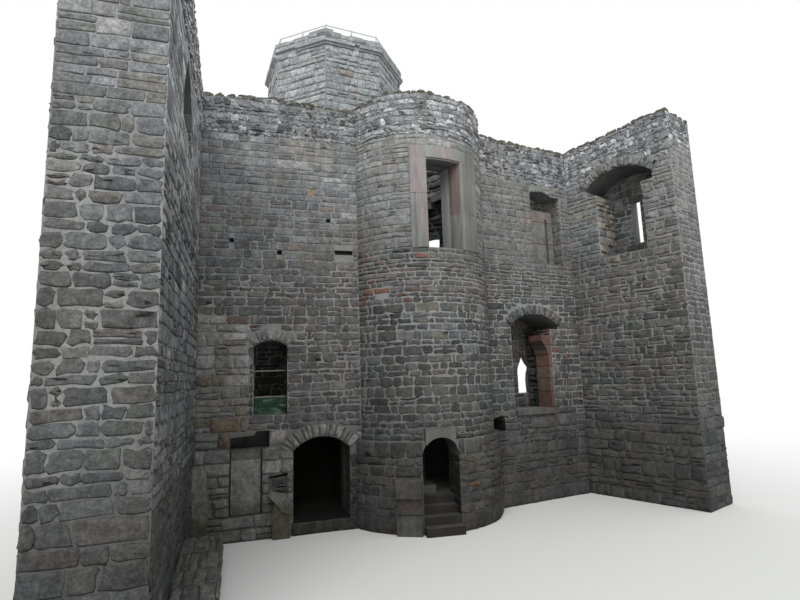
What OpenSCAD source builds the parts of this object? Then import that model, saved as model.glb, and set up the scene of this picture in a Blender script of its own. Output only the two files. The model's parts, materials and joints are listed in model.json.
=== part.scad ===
// Ruined castle ward with an eight-sided keep and a round stair turret.
// The courtyard faces of the walls look along -Y, and Z is 0 at the foot of the walls.

/* [Ward walls] */
// Height of the ward walls over the courtyard
wall_h = 11700; // [10500:100:13000]
// Thickness of the ward walls
wall_t = 1500; // [1300:50:1700]
// Length of the left return wall toward the viewer
left_wall_l = 6200; // [5600:100:7400]
// Length of the right return wall toward the viewer
right_wall_l = 3600; // [3300:100:4300]
// Level of the raised floor behind the walls
floor_z = 2750; // [2700:10:2850]

/* [Stair turret] */
// Distance of the turret centre from the left inner corner
turret_x = 6200; // [5900:50:6600]
// Outer radius of the turret
turret_r = 2200; // [2000:20:2350]
// Inner radius of the stair well
well_r = 1400; // [1250:10:1480]
// Height of the turret
turret_h = 11850; // [11400:50:12400]
// Height of the proud base course
base_h = 2250; // [2150:10:2350]
// Rise of one stair step
step_rise = 200; // [180:5:210]

/* [Right side] */
// Distance from the turret centre to the right inner corner
right_reach = 5770; // [5500:10:6200]
// Turn of the right bay in plan
right_turn = 10.5; // [8:0.5:12]
// Turn of the right return wall in plan
right_wall_turn = -68; // [-72:1:-64]

/* [Keep] */
// Corner radius of the keep's shaft
keep_r = 2760; // [2600:20:2900]
// Thickness of the keep's walls
keep_wall_t = 850; // [700:10:950]
// Height of the keep's shaft to the cornice
keep_h = 16150; // [15000:50:17000]
// Turn of the corner that faces the courtyard
keep_turn = -106; // [-109:1:-103]

/* [Openings] */
// Width of the left doorway
left_door_w = 1490; // [1300:10:1600]
// Width of the left window
left_window_w = 850; // [750:10:950]
// Width of the right doorway under its arch
right_door_w = 2000; // [1800:10:2100]
// Width of the turret's doorway
turret_door_w = 980; // [880:10:1080]

/* [Hidden] */
$fn = 180;

eps = 1;
skew = 0.5;
sky = 20000;
stone = "#8a837b";
stone_dark = "#6f6a63";
stone_light = "#a8a49a";
stone_red = "#a06a58";
iron = "#5c5f60";
mesh_green = "#3c6b4c";

// Turret
turret_y = 0.65 * wall_t;
base_r = turret_r + 120;
turret = [turret_x, turret_y];
window_sill_z = 7350;
window_joint_z = [8880, 8430];
window_head_z = 9880;
window_top_z = 10280;
window_a = [-7, 21];
frame_a = [-19, 40];
frame_proud = 35;
frame_deep = 450;
groove_r = 28;
back_door_turn = -40;
back_door_w = 900;
door_turn = -5;
door_spring = 1850;
jamb_turn = -26;
jamb_w = 640;
newel_r = 150;
newel_seam_a = 200;
steps_per_turn = 13;
step_a = 360 / steps_per_turn;
nosing_a = 3;
stair_floor = 4 * step_rise;
top_steps = 6;
stub_z = 9660;
landing_z = stair_floor + (2 * steps_per_turn + top_steps) * step_rise;
landing_a = [30, door_turn + 990 - (2 * steps_per_turn + top_steps) * step_a + nosing_a];

// Left bay
left_door = [2420, 300];
left_door_spring = 2080;
left_door_rise = 330;
left_door_ring = 380;
left_window = [1420, 3020];
left_window_spring = 4800;
left_window_rise = 150;
left_window_ring = 330;
niche = [860, 620];
niche_w = 780;
niche_h = 1590;
niche_deep = 380;
niche_pocket_deep = 750;
lancet_z = 8900;
lancet_w = 500;
lancet_deep = 700;
bay_split_1 = 2860;
bay_split_2 = 5600;
ring_deep = 600;

// Right bay, in its own frame with the inner corner at the origin
right = [turret_x + right_reach, turret_y];
right_foot = right_reach * cos(right_turn);
right_mitre = wall_t * tan((right_turn - right_wall_turn) / 2);
right_door = [-2850, floor_z + 30];
right_door_spring = 5400;
right_door_rise = 380;
right_door_ring = 330;
right_jamb_w = 140;
right_jamb_h = 5100;
right_jamb_deep = 600;
right_infill_w = 370;
right_infill_h = 5300;
inner_wall_t = 250;
right_split_2 = 6600;
right_window = [-1700, 7450];
right_window_w = 1330;
right_window_deep = 700;
window_frame_t = 260;
window_frame_h = 2030;
light = [1000, 1120];
rear_light = [750, 1350];
slit = [-1640, floor_z + 480];
hole = [-3720, 2180];
hole_w = 460;

// Right return wall
recess_x = 750;
recess_w = 2250;
recess_z = 7550;
recess_jamb = 350;
recess_jamb_z = 9700;
recess_spring = 9950;
recess_rise = 450;
recess_ring = 330;
recess_deep = 1100;

// Keep
keep_sides = 8;
keep_side_a = 360 / keep_sides;
keep_clear = 155;
keep = [4680, turret_y + turret_r + keep_clear + keep_r];
keep_apothem = keep_r * cos(keep_side_a / 2);
keep_inner_r = (keep_apothem - keep_wall_t) / cos(keep_side_a / 2);
vault_deep = keep[1] - keep_r + 300 - wall_t;
cornice_proud = 150;
cornice_h = 170;
parapet_h = 350;
apex_raise = 80;
parapet_t = 420;
entrance_side = 4;
entrance_z = 6400;
entrance_w = 900;
entrance_h = 1950;
rail_h = 380;
post_d = 46;
rail_d = 30;

// The whole plan, for the origin at the centre of its box
plan_right = right[0] + right_wall_l * cos(right_wall_turn) - wall_t * sin(right_wall_turn);
plan_back = keep[1] + (keep_r + cornice_proud)
    * max([for (i = [0:keep_sides - 1]) sin(keep_turn + i * keep_side_a)]);
origin = [(plan_right - wall_t) / 2, (plan_back - left_wall_l) / 2];

module place() {
    translate([-origin[0], -origin[1], 0]) children();
}

module in_right_bay() {
    translate([right[0], right[1], 0]) rotate(right_turn) children();
}

module in_right_wall() {
    translate([right[0], right[1], 0]) rotate(right_wall_turn) children();
}

module at_turret(turn = 0) {
    translate([turret[0], turret[1], 0]) rotate(turn) children();
}

// Stands an elevation up as a wall that runs from the face at Y = 0 back to Y = t
module upright(t) {
    translate([0, t, 0]) rotate([90, 0, 0]) linear_extrude(t) children();
}

function arch_r(w, rise) = (w * w / 4 + rise * rise) / (2 * rise);

function arch_half(w, rise) = asin(w / 2 / arch_r(w, rise));

// Opening with a segmental head, its lower left corner at the origin
module arch_profile(w, spring, rise) {
    square([w, spring]);
    intersection() {
        translate([w / 2, spring + rise - arch_r(w, rise)]) circle(r = arch_r(w, rise));
        translate([0, spring - eps]) square([w, rise + 2 * eps]);
    }
}

// Wedge of the plane round the origin, between two angles
module wedge(a0, a1, reach) {
    n = ceil((a1 - a0) / 40);
    arc = [for (i = [0:n]) a0 + (a1 - a0) * i / n];
    polygon(concat([[0, 0]], [for (a = arc) 2 * reach * [cos(a), sin(a)]]));
}

module ring_sector(r0, r1, a0, a1) {
    intersection() {
        difference() {
            circle(r = r1);
            circle(r = r0);
        }
        wedge(a0, a1, r1);
    }
}

// Seat of an arch's voussoirs, which reaches a little into the opening
module arch_seat(w, spring, rise, ring) {
    r = arch_r(w, rise);
    half = arch_half(w, rise) + skew;
    translate([w / 2, spring + rise - r])
        ring_sector(r - 40, r + ring, 90 - half, 90 + half);
}

// Ring of an arch, with voussoir faces of unequal width that stand proud by turns
module voussoirs(w, spring, rise, ring, count, deep, proud) {
    r = arch_r(w, rise);
    half = arch_half(w, rise) + skew;
    step = 2 * half / count;
    joint = 0.06 * step;
    translate([w / 2, 0, spring + rise - r]) {
        upright(deep) ring_sector(r, r + ring, 90 - half, 90 + half);
        for (i = [0:count - 1]) {
            front = proud * (0.4 + 0.6 * abs(sin(i * 137)));
            a0 = 90 - half + step * (i + (i == 0 ? 0 : 0.25 * sin(i * 101)));
            a1 = 90 - half + step * (i + 1 + (i == count - 1 ? 0 : 0.25 * sin((i + 1) * 101)));
            translate([0, -front, 0])
                upright(front + 20)
                    ring_sector(r + 10, r + ring - 10 - 20 * abs(sin(i * 71)), a0 + joint, a1 - joint);
        }
    }
}

module turret_envelope() {
    at_turret() {
        cylinder(r = turret_r, h = sky);
        cylinder(r = base_r, h = base_h);
    }
}

module keep_prism(r, h) {
    translate([keep[0], keep[1], 0]) rotate(keep_turn) cylinder(r = r, h = h, $fn = keep_sides);
}

// Keep
module keep_wall(i) {
    a0 = i * keep_side_a;
    a1 = a0 + keep_side_a;
    color(stone_light)
    place()
        difference() {
            translate([keep[0], keep[1], 0]) rotate(keep_turn)
                linear_extrude(keep_h)
                    polygon([
                        keep_r * [cos(a0), sin(a0)],
                        keep_r * [cos(a1), sin(a1)],
                        keep_inner_r * [cos(a1), sin(a1)],
                        keep_inner_r * [cos(a0), sin(a0)]
                    ]);
            if (i == entrance_side)
                translate([keep[0], keep[1], entrance_z])
                    rotate(keep_turn + (a0 + a1) / 2 - 90)
                        translate([-entrance_w / 2, 0, 0])
                            upright(keep_r)
                                arch_profile(entrance_w, entrance_h, entrance_w / 4);
        }
}

// Space in front of one side of the keep, from one distance along the side to another
module cornice_break(side, from, to) {
    side_w = 2 * (keep_r + cornice_proud) * sin(keep_side_a / 2);
    translate([keep[0], keep[1], 0]) rotate(keep_turn + (side + 0.5) * keep_side_a)
        translate([keep_apothem + 2, from - side_w / 2, -eps])
            cube([2 * cornice_proud, to - from, cornice_h + 2 * eps]);
}

module keep_cornice() {
    color(stone_light)
    place()
        translate([0, 0, keep_h])
            difference() {
                union() {
                    keep_prism(keep_r + cornice_proud / 2, cornice_h / 2);
                    translate([0, 0, cornice_h / 2])
                        keep_prism(keep_r + cornice_proud, cornice_h / 2);
                }
                translate([0, 0, -eps]) keep_prism(keep_inner_r, cornice_h + 2 * eps);
                // Lost lengths of the cornice, left of the near corner and one stone right of it
                cornice_break(keep_sides - 1, -200, 930);
                cornice_break(0, 1150, 1350);
            }
}

// The coping is uneven, and one stone over the near corner stands higher than the rest
module keep_parapet() {
    r = keep_r + cornice_proud / 2;
    color(stone_light)
    place()
        translate([0, 0, keep_h + cornice_h])
            difference() {
                union() {
                    keep_prism(r, parapet_h);
                    intersection() {
                        keep_prism(r, parapet_h + apex_raise);
                        translate([keep[0], keep[1], 0]) rotate(keep_turn)
                            linear_extrude(parapet_h + apex_raise) wedge(-14, 6, r);
                    }
                }
                translate([0, 0, -eps]) keep_prism(keep_r - parapet_t, parapet_h + 200);
                // Worn dips along the coping
                for (dip = [[-32, 30], [16, 50], [34, 20], [100, 40], [190, 30], [280, 40]])
                    translate([keep[0], keep[1], parapet_h - dip[1]]) rotate(keep_turn + dip[0])
                        translate([0, -150, 0]) cube([keep_r + 400, 300, 200]);
            }
}

module keep_platform() {
    color(stone_dark)
    place()
        translate([0, 0, keep_h]) keep_prism(keep_inner_r, cornice_h);
}

// Posts at the corners and in the middle of each side, which the rail runs through
module keep_railing() {
    rail_r = keep_r - parapet_t / 3;
    color(iron)
    place()
        translate([keep[0], keep[1], keep_h + cornice_h + parapet_h]) rotate(keep_turn)
            for (i = [0:keep_sides - 1]) {
                corner = rail_r * [cos(i * keep_side_a), sin(i * keep_side_a)];
                next = rail_r * [cos((i + 1) * keep_side_a), sin((i + 1) * keep_side_a)];
                middle = (corner + next) / 2;
                foot = i == 0 ? apex_raise : 0;
                translate([corner[0], corner[1], foot]) cylinder(d = post_d, h = rail_h - foot);
                translate([middle[0], middle[1], 0]) cylinder(d = post_d, h = rail_h);
                translate([corner[0], corner[1], rail_h - post_d])
                    rotate([0, 90, atan2(next[1] - corner[1], next[0] - corner[0])])
                        cylinder(d = rail_d, h = norm(next - corner));
            }
}

// Vaulted passage behind the left doorway, which carries the floor behind the walls
module cellar_vault() {
    color(stone_dark)
    place()
        difference() {
            translate([-wall_t, wall_t, 0]) cube([wall_t + turret_x, vault_deep, floor_z]);
            translate([left_door[0], wall_t - eps, left_door[1]])
                upright(1500)
                    arch_profile(left_door_w, left_door_spring - left_door[1], left_door_rise);
            turret_envelope();
            keep_prism(keep_r, sky);
        }
}

// Wall seen close behind the left window
module passage_wall() {
    color(stone_dark)
    place()
        difference() {
            translate([-wall_t, wall_t + 1400, floor_z])
                cube([wall_t + keep[0] - 400, 700, 7200 - floor_z]);
            keep_prism(keep_r, sky);
        }
}

// Left return wall
module left_wall() {
    l = left_wall_l;
    color(stone)
    place()
        difference() {
            intersection() {
                rotate(-90) translate([0, -wall_t, 0])
                    upright(wall_t)
                        polygon([
                            [-wall_t, 0], [l, 0], [l, wall_h + 250], [l - 900, wall_h + 420],
                            [3400, wall_h + 380], [2300, wall_h + 330], [1500, wall_h + 160],
                            [700, wall_h + 60], [0, wall_h - 40], [-wall_t, wall_h - 80]
                        ]);
                linear_extrude(sky)
                    polygon([[0, 0], [-wall_t, wall_t], [-wall_t, -l], [0, -l]]);
            }
            // Lancet light with a pointed head, in a wide broken embrasure
            rotate(-90) translate([2500, -lancet_deep, lancet_z])
                upright(lancet_deep + eps)
                    polygon([[0, 0], [1650, 0], [1650, 500], [1450, 1000], [1100, 1480],
                             [600, 1250], [150, 800], [0, 500]]);
            rotate(-90) translate([3075, -wall_t - eps, lancet_z])
                upright(wall_t - lancet_deep + 2 * eps)
                    polygon([[0, 0], [lancet_w, 0], [lancet_w, 950], [lancet_w / 2, 1250],
                             [0, 950]]);
            // Beam sockets
            for (s = [[800, 5250, 420], [1500, 3900, 300], [3600, 5350, 350]])
                translate([-400, -s[0] - s[2], s[1]]) cube([400 + eps, s[2], 330]);
        }
}

module left_bay(outline) {
    difference() {
        intersection() {
            upright(wall_t) polygon(outline);
            linear_extrude(sky)
                polygon([[0, 0], [turret_x, 0], [turret_x, wall_t], [-wall_t, wall_t]]);
        }
        turret_envelope();
        translate([left_door[0], -eps, left_door[1]])
            upright(wall_t + 2 * eps)
                arch_profile(left_door_w, left_door_spring - left_door[1], left_door_rise);
        translate([left_door[0], -eps, 0])
            upright(ring_deep + eps)
                arch_seat(left_door_w, left_door_spring, left_door_rise, left_door_ring);
        translate([left_window[0], -eps, left_window[1]])
            upright(wall_t + 2 * eps)
                arch_profile(left_window_w, left_window_spring - left_window[1], left_window_rise);
        translate([left_window[0], -eps, 0])
            upright(ring_deep + eps)
                arch_seat(left_window_w, left_window_spring, left_window_rise, left_window_ring);
    }
}

module left_bay_lower() {
    color(stone)
    place()
        difference() {
            left_bay([[-wall_t, 0], [turret_x, 0], [turret_x, bay_split_1], [-wall_t, bay_split_1]]);
            translate([niche[0], -eps, niche[1]]) cube([niche_w, niche_deep + eps, niche_h]);
            // Broken pocket over the niche
            translate([niche[0], -eps, niche[1] + niche_h - 10])
                upright(niche_pocket_deep)
                    polygon([[0, 0], [960, 0], [960, 440], [620, 430], [590, 340], [0, 300]]);
            // Slots where stones have dropped out, left of the doorway
            broken_face(260, [[1800, 1490], [2280, 1560], [2270, 1480], [1960, 1440], [1830, 1440]]);
            broken_face(200, [[1990, 1235], [2230, 1225], [2230, 1190], [2010, 1190]]);
            broken_face(90, [[1840, 1450], [2260, 1490], [2270, 1060], [1960, 1120]]);
        }
}

// Hollow left by fallen stones, from its outline on the left bay's face
module broken_face(deep, outline) {
    translate([0, -eps, 0]) upright(deep + eps) polygon(outline);
}

module left_bay_middle() {
    color(stone)
    place()
        difference() {
            left_bay([
                [-wall_t, bay_split_1], [turret_x, bay_split_1],
                [turret_x, bay_split_2], [-wall_t, bay_split_2]
            ]);
            // Broken upper end of the window's left jamb
            translate([left_window[0], 0, left_window[1]])
                broken_face(450, [[10, 1270], [-25, 1310], [-75, 1460], [-130, 1540],
                                  [-155, 1700], [-90, 1750], [10, 1760]]);
        }
}

module left_bay_upper() {
    color(stone)
    place()
        difference() {
            left_bay([
                [-wall_t, bay_split_2], [turret_x, bay_split_2], [turret_x, wall_h - 120],
                [3900, wall_h - 100], [3500, wall_h - 40], [2600, wall_h + 20],
                [1700, wall_h + 60], [900, wall_h + 20], [300, wall_h - 30], [-wall_t, wall_h - 80]
            ]);
            // Putlog holes and the slot beside the turret
            for (h = [[1990, 7270, 130, 130], [3330, 8240, 130, 120], [760, 7560, 120, 120],
                      [3560, 7330, 520, 130]])
                translate([h[0], -eps, h[1]]) cube([h[2], 350, h[3]]);
        }
}

module left_door_arch() {
    color(stone)
    place()
        difference() {
            translate([left_door[0], 0, 0])
                voussoirs(left_door_w, left_door_spring, left_door_rise, left_door_ring,
                          13, ring_deep, 70);
            turret_envelope();
        }
}

module left_window_arch() {
    color(stone)
    place()
        translate([left_window[0], 0, 0])
            voussoirs(left_window_w, left_window_spring, left_window_rise, left_window_ring,
                      7, ring_deep, 40);
}

module window_rails() {
    color(iron)
    place()
        for (z = [3480, 4160])
            translate([left_window[0], 320, z])
                rotate([0, 90, 0]) cylinder(d = 34, h = left_window_w, $fn = 24);
}

module window_mesh() {
    color(mesh_green)
    place()
        translate([left_window[0], 310, left_window[1]])
            cube([left_window_w, 20, 3480 - 17 - left_window[1]]);
}

// Smooth slab that fills the niche and leans back toward its top
module niche_slab() {
    side = 30;
    color(stone_light)
    place()
        translate([niche[0] + side, 0, niche[1]])
            rotate([90, 0, 90])
                linear_extrude(niche_w - 2 * side)
                    polygon([
                        [niche_deep, 0], [80, 0], [60, 700], [80, 1250], [150, 1330],
                        [190, 1460], [320, niche_h - 20], [niche_deep, niche_h - 20]
                    ]);
}

// Slab beside the left doorway and slab against the left return wall
module leaning_slabs() {
    color(stone)
    place() {
        translate([0, -240, 0])
            upright(240)
                polygon([[1770, 1080], [1840, 1170], [2160, 1050], [2350, 850], [2400, 610],
                         [2300, 600], [2110, 665], [1945, 900]]);
        translate([0, -160, 0])
            upright(160)
                polygon([[1900, 0], [2330, 0], [2330, 640], [2110, 700], [1960, 930], [1880, 600]]);
        translate([0, -430, 0])
            upright(180)
                polygon([[0, 0], [340, 0], [400, 900], [330, 1750], [210, 1950], [0, 1900]]);
    }
}

// Broken stub of a footing that runs along the left return wall
module footing_stub() {
    color(stone_dark)
    place()
        translate([0, -5200, 0])
            rotate([90, 0, 90])
                linear_extrude(760)
                    polygon([[0, 0], [3650, 0], [3650, 620], [3100, 700], [2500, 640],
                             [1900, 520], [1300, 460], [700, 300], [0, 240]]);
}

// Turret
module turret_ring(r, z0, z1) {
    at_turret()
        translate([0, 0, z0])
            difference() {
                cylinder(r = r, h = z1 - z0);
                translate([0, 0, -eps]) cylinder(r = well_r, h = z1 - z0 + 2 * eps);
            }
}

module turret_door_cut() {
    r = turret_door_w / 2;
    deep = base_r + 200 - well_r / 2;
    at_turret(door_turn)
        translate([0, -base_r - 200, 0]) {
            translate([-r, 0, -eps]) cube([2 * r, deep, door_spring + eps]);
            translate([0, deep, door_spring]) rotate([90, 0, 0]) cylinder(r = r, h = deep);
        }
}

// Small one-piece arched stone over the doorway
module door_head_stone(grow = 0) {
    half = turret_door_w / 2 - 80;
    at_turret(door_turn)
        translate([0, -base_r - 40 - grow, door_spring])
            upright(450 + grow)
                polygon([[-half, 320], [half, 320], [half - 20, 690], [-half + 10, 705]]);
}

module turret_base_half(a0, a1) {
    difference() {
        intersection() {
            turret_ring(base_r, 0, base_h);
            at_turret() linear_extrude(base_h) wedge(a0, a1, base_r);
        }
        turret_door_cut();
        door_head_stone(100);
        jamb_seat();
    }
}

module turret_base_left() {
    color(stone)
    place()
        turret_base_half(90, 265);
}

module turret_base_right() {
    color(stone)
    place()
        turret_base_half(-95, 90);
}

module turret_shaft() {
    color(stone)
    place()
        difference() {
            turret_ring(turret_r, base_h, window_sill_z - 60);
            turret_door_cut();
            door_head_stone(100);
        }
}

module turret_window_cut() {
    at_turret(-90)
        translate([0, 0, window_sill_z])
            linear_extrude(window_head_z - window_sill_z) wedge(window_a[0], window_a[1], base_r);
}

module turret_frame_space() {
    at_turret(-90)
        translate([0, 0, window_sill_z])
            linear_extrude(window_top_z - window_sill_z)
                ring_sector(turret_r - frame_deep, turret_r + frame_proud,
                            frame_a[0], frame_a[1]);
}

module turret_window_wall() {
    color(stone)
    place()
        difference() {
            turret_ring(turret_r, window_sill_z - 60, window_top_z);
            turret_window_cut();
            turret_frame_space();
            // Doorway at the back of the stair well, over the landing
            at_turret(back_door_turn)
                translate([-back_door_w / 2, 0, window_sill_z - 60 - eps])
                    upright(base_r) arch_profile(back_door_w, 1250, 120);
        }
    // Broken ends of the treads of one more turn
    for (i = [0:2])
        color(stone)
        place()
            at_turret(-90)
                translate([0, 0, stub_z - i * step_rise])
                    linear_extrude(step_rise - 20)
                        ring_sector(well_r - 250, well_r + 100, 98 + i * step_a, 98 + (i + 1) * step_a);
}

module turret_head() {
    color(stone)
    place()
        difference() {
            turret_ring(turret_r, window_top_z, turret_h);
            // Worn dips along the top
            for (d = [[-150, 90], [-75, 60], [40, 110], [110, 80]])
                at_turret(d[0])
                    translate([0, -450, turret_h - d[1]]) cube([base_r, 900, 200]);
        }
}

module turret_door_head() {
    color(stone_light)
    place()
        difference() {
            door_head_stone();
            turret_door_cut();
        }
}

// Side profile of the three jamb stones left of the doorway: plinth, red stone, bossed block
module jamb_profile() {
    polygon([
        [300, 0], [-130, 0], [-130, 340], [60, 420], [60, 880],
        [-170, 900], [-170, 1310], [-140, 1360], [300, 1360]
    ]);
}

module at_jamb() {
    at_turret(jamb_turn)
        translate([-jamb_w / 2, -base_r, 0])
            rotate([90, 0, 90]) children();
}

module jamb_seat() {
    at_jamb()
        translate([-300, -eps, 0]) cube([600, 1360 + eps, jamb_w]);
}

module turret_jamb_stones() {
    color(stone_red)
    place()
        difference() {
            at_jamb() linear_extrude(jamb_w) jamb_profile();
            turret_door_cut();
        }
}

// Steps that lead through the turret's wall
module turret_steps() {
    tread = (base_r - well_r + 200) / 4;
    color(stone_dark)
    place()
        intersection() {
            at_turret(door_turn)
                for (i = [0:3])
                    translate([-turret_door_w / 2, -base_r - 200 + i * tread, 0])
                        cube([turret_door_w, (4 - i) * tread + 60, (i + 1) * step_rise]);
            difference() {
                at_turret() cylinder(r = base_r + 400, h = base_h);
                at_turret() translate([0, 0, -eps]) cylinder(r = well_r, h = base_h + 2 * eps);
            }
        }
}

module turret_window_jambs() {
    color(stone_red)
    place()
        at_turret(-90)
            difference() {
                translate([0, 0, window_sill_z])
                    linear_extrude(window_head_z - window_sill_z) {
                        frame_sector(frame_a[0], window_a[0]);
                        frame_sector(window_a[1], frame_a[1]);
                    }
                // Vertical grooves of the moulding
                frame_groove(frame_a[0] + 3, window_sill_z, window_joint_z[0]);
                frame_groove(window_a[1] + 4, window_sill_z, window_head_z);
                frame_groove(window_a[1] + 7, window_sill_z, window_head_z);
                // Joints between the jambs' stones
                frame_joint(frame_a[0], window_a[0], window_joint_z[0]);
                frame_joint(window_a[1], frame_a[1], window_joint_z[1]);
            }
}

// Plan of a piece of the frame between two angles
module frame_sector(a0, a1) {
    ring_sector(turret_r - frame_deep, turret_r + frame_proud, a0, a1);
}

module frame_groove(a, z0, z1) {
    r = turret_r + frame_proud;
    translate([r * cos(a), r * sin(a), z0 - eps]) cylinder(r = groove_r, h = z1 - z0 + 2 * eps);
}

module frame_joint(a0, a1, z) {
    joint = 8;
    translate([0, 0, z])
        linear_extrude(joint)
            ring_sector(turret_r + frame_proud - 15, turret_r + frame_proud + eps, a0 - 1, a1 + 1);
}

module turret_window_lintel() {
    rebate = 40;
    color(stone_red)
    place()
        at_turret(-90)
            difference() {
                translate([0, 0, window_head_z])
                    linear_extrude(window_top_z - window_head_z)
                        frame_sector(frame_a[0], frame_a[1]);
                translate([0, 0, window_head_z - eps])
                    linear_extrude(rebate + eps)
                        ring_sector(turret_r + frame_proud - rebate, turret_r + frame_proud + eps,
                                    window_a[0], window_a[1]);
            }
}

// One winding step, which beds a little on the one below; the stair climbs clockwise
module winder(i, bed) {
    reach = well_r - 2;
    rotate(door_turn - 90 - i * step_a)
        translate([0, 0, i * step_rise - bed])
            linear_extrude(step_rise + bed)
                polygon([
                    newel_r / 2 * [cos(nosing_a), sin(nosing_a)],
                    reach * [cos(nosing_a), sin(nosing_a)],
                    reach * [cos(step_a / 2), -sin(step_a / 2)],
                    reach * [cos(step_a), -sin(step_a)],
                    newel_r / 2 * [cos(step_a), -sin(step_a)]
                ]);
}

module stair_flight(first, last) {
    color(stone)
    place()
        at_turret()
            translate([0, 0, stair_floor]) {
                for (i = [first:last]) winder(i, i == first ? 0 : 10);
                translate([0, 0, first * step_rise]) rotate(newel_seam_a)
                    cylinder(r = newel_r, h = (last - first + 1) * step_rise);
            }
}

module stair_flight_1() {
    stair_flight(0, steps_per_turn - 1);
    color(stone_dark)
    place()
        at_turret() cylinder(r = well_r, h = stair_floor + eps);
}

module stair_flight_2() {
    stair_flight(steps_per_turn, 2 * steps_per_turn - 1);
}

module stair_flight_3() {
    reach = well_r - 2;
    arc = [for (i = [0:3]) landing_a[0] + (landing_a[1] - landing_a[0]) * i / 3];
    stair_flight(2 * steps_per_turn, 2 * steps_per_turn + top_steps - 1);
    // Landing inside the doorway at the back of the well
    color(stone)
    place()
        at_turret()
            translate([0, 0, landing_z - step_rise])
                linear_extrude(step_rise)
                    polygon(concat(
                        [newel_r / 2 * [cos(arc[0]), sin(arc[0])]],
                        [for (a = arc) reach * [cos(a), sin(a)]],
                        [newel_r / 2 * [cos(arc[3]), sin(arc[3])]]
                    ));
}

// Right bay
module right_bay(outline) {
    difference() {
        in_right_bay()
            intersection() {
                upright(wall_t) polygon(outline);
                linear_extrude(sky)
                    polygon([[-right_foot, 0], [0, 0], [right_mitre, wall_t],
                             [-right_foot, wall_t]]);
            }
        turret_envelope();
        in_right_bay() {
            right_door_cut();
            translate([right_door[0], -eps, 0])
                upright(ring_deep + eps)
                    arch_seat(right_door_w, right_door_spring, right_door_rise, right_door_ring);
            right_window_cut();
            translate([hole[0], -eps, hole[1]])
                upright(700) arch_profile(hole_w, 300, 200);
        }
    }
}

// Masonry that narrows the doorway on its right side
module right_door_infill() {
    translate([right_door[0] + right_door_w - right_infill_w, -2 * eps, right_door[1] - eps])
        cube([right_infill_w + eps, right_jamb_deep + 2 * eps, right_infill_h - right_door[1] + eps]);
}

module right_door_cut() {
    difference() {
        translate([right_door[0], -eps, right_door[1]])
            upright(wall_t + 2 * eps)
                arch_profile(right_door_w, right_door_spring - right_door[1], right_door_rise);
        right_door_infill();
    }
}

// Wide embrasure with a broken head, and a narrower opening behind the window's frame
module right_window_cut() {
    translate([right_window[0], -eps, right_window[1]])
        upright(right_window_deep + eps)
            polygon([
                [0, 0], [right_window_w, 0], [right_window_w, 2420], [946, 2410], [740, 2500],
                [535, 2535], [100, 2480], [0, 2430]
            ]);
    translate([right_window[0] + rear_light[0], right_window_deep - eps, right_window[1] + 150])
        cube([rear_light[1] - rear_light[0], wall_t, 1700]);
}

module right_bay_lower() {
    color(stone)
    place()
        right_bay([
            [-right_foot, 0], [right_mitre, 0], [right_mitre, floor_z], [-right_foot, floor_z]
        ]);
}

module right_bay_middle() {
    color(stone)
    place()
        right_bay([
            [-right_foot, floor_z], [right_mitre, floor_z],
            [right_mitre, right_split_2], [-right_foot, right_split_2]
        ]);
}

module right_bay_upper() {
    color(stone)
    place()
        right_bay([
            [-right_foot, right_split_2], [right_mitre, right_split_2],
            [right_mitre, wall_h - 150], [0, wall_h - 170], [-700, wall_h - 210],
            [-1600, wall_h - 200], [-2500, wall_h - 220], [-3300, wall_h - 170],
            [-right_foot, wall_h - 150]
        ]);
}

module right_door_arch() {
    color(stone)
    place()
        difference() {
            in_right_bay()
                translate([right_door[0], 0, 0])
                    voussoirs(right_door_w, right_door_spring, right_door_rise, right_door_ring,
                              15, ring_deep, 50);
            turret_envelope();
        }
}

// Red sandstone jamb with the springer of the inner arch
module right_door_jamb() {
    x1 = right_door[0] + right_door_w - right_infill_w;
    color(stone_red)
    place()
        in_right_bay()
            translate([x1 - right_jamb_w, 0, 0])
                upright(right_jamb_deep)
                    polygon([
                        [0, right_door[1]], [right_jamb_w, right_door[1]],
                        [right_jamb_w, right_jamb_h],
                        [-260, right_jamb_h], [-240, right_jamb_h - 180],
                        [-60, right_jamb_h - 480], [0, right_jamb_h - 700]
                    ]);
}

module right_threshold() {
    color(stone_light)
    place()
        difference() {
            in_right_bay()
                translate([right_door[0], -120, floor_z - 130])
                    cube([right_door_w - right_infill_w, 120, 160]);
            turret_envelope();
        }
}

// Inner wall seen through the right doorway, with its broken pointed slit
module right_inner_wall() {
    color(stone)
    place()
        difference() {
            in_right_bay()
                translate([right_door[0], wall_t - inner_wall_t, right_door[1]])
                    upright(inner_wall_t)
                        arch_profile(right_door_w, right_door_spring - right_door[1],
                                     right_door_rise);
            in_right_bay()
                translate([slit[0], wall_t - inner_wall_t - eps, slit[1]])
                    upright(inner_wall_t + 2 * eps)
                        polygon([
                            [0, 0], [540, 0], [520, 420], [560, 700], [620, 800], [610, 900],
                            [500, 1010], [400, 1200], [250, 1460], [170, 1150], [60, 950],
                            [0, 800]
                        ]);
            turret_envelope();
        }
}

// Frame with a narrow light at the back of the embrasure
module right_window_frame() {
    color(stone_light)
    place()
        in_right_bay()
            translate([right_window[0], right_window_deep - window_frame_t, right_window[1]])
                difference() {
                    cube([right_window_w, window_frame_t, window_frame_h]);
                    translate([light[0], -eps, 180])
                        cube([light[1] - light[0], window_frame_t + 2 * eps,
                              window_frame_h - 480]);
                }
}

module recess_profile() {
    jamb_h = recess_jamb_z - recess_z;
    translate([recess_jamb, 0]) square([recess_w - 2 * recess_jamb, jamb_h + eps]);
    translate([0, jamb_h])
        arch_profile(recess_w, recess_spring - recess_jamb_z, recess_rise);
}

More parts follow.
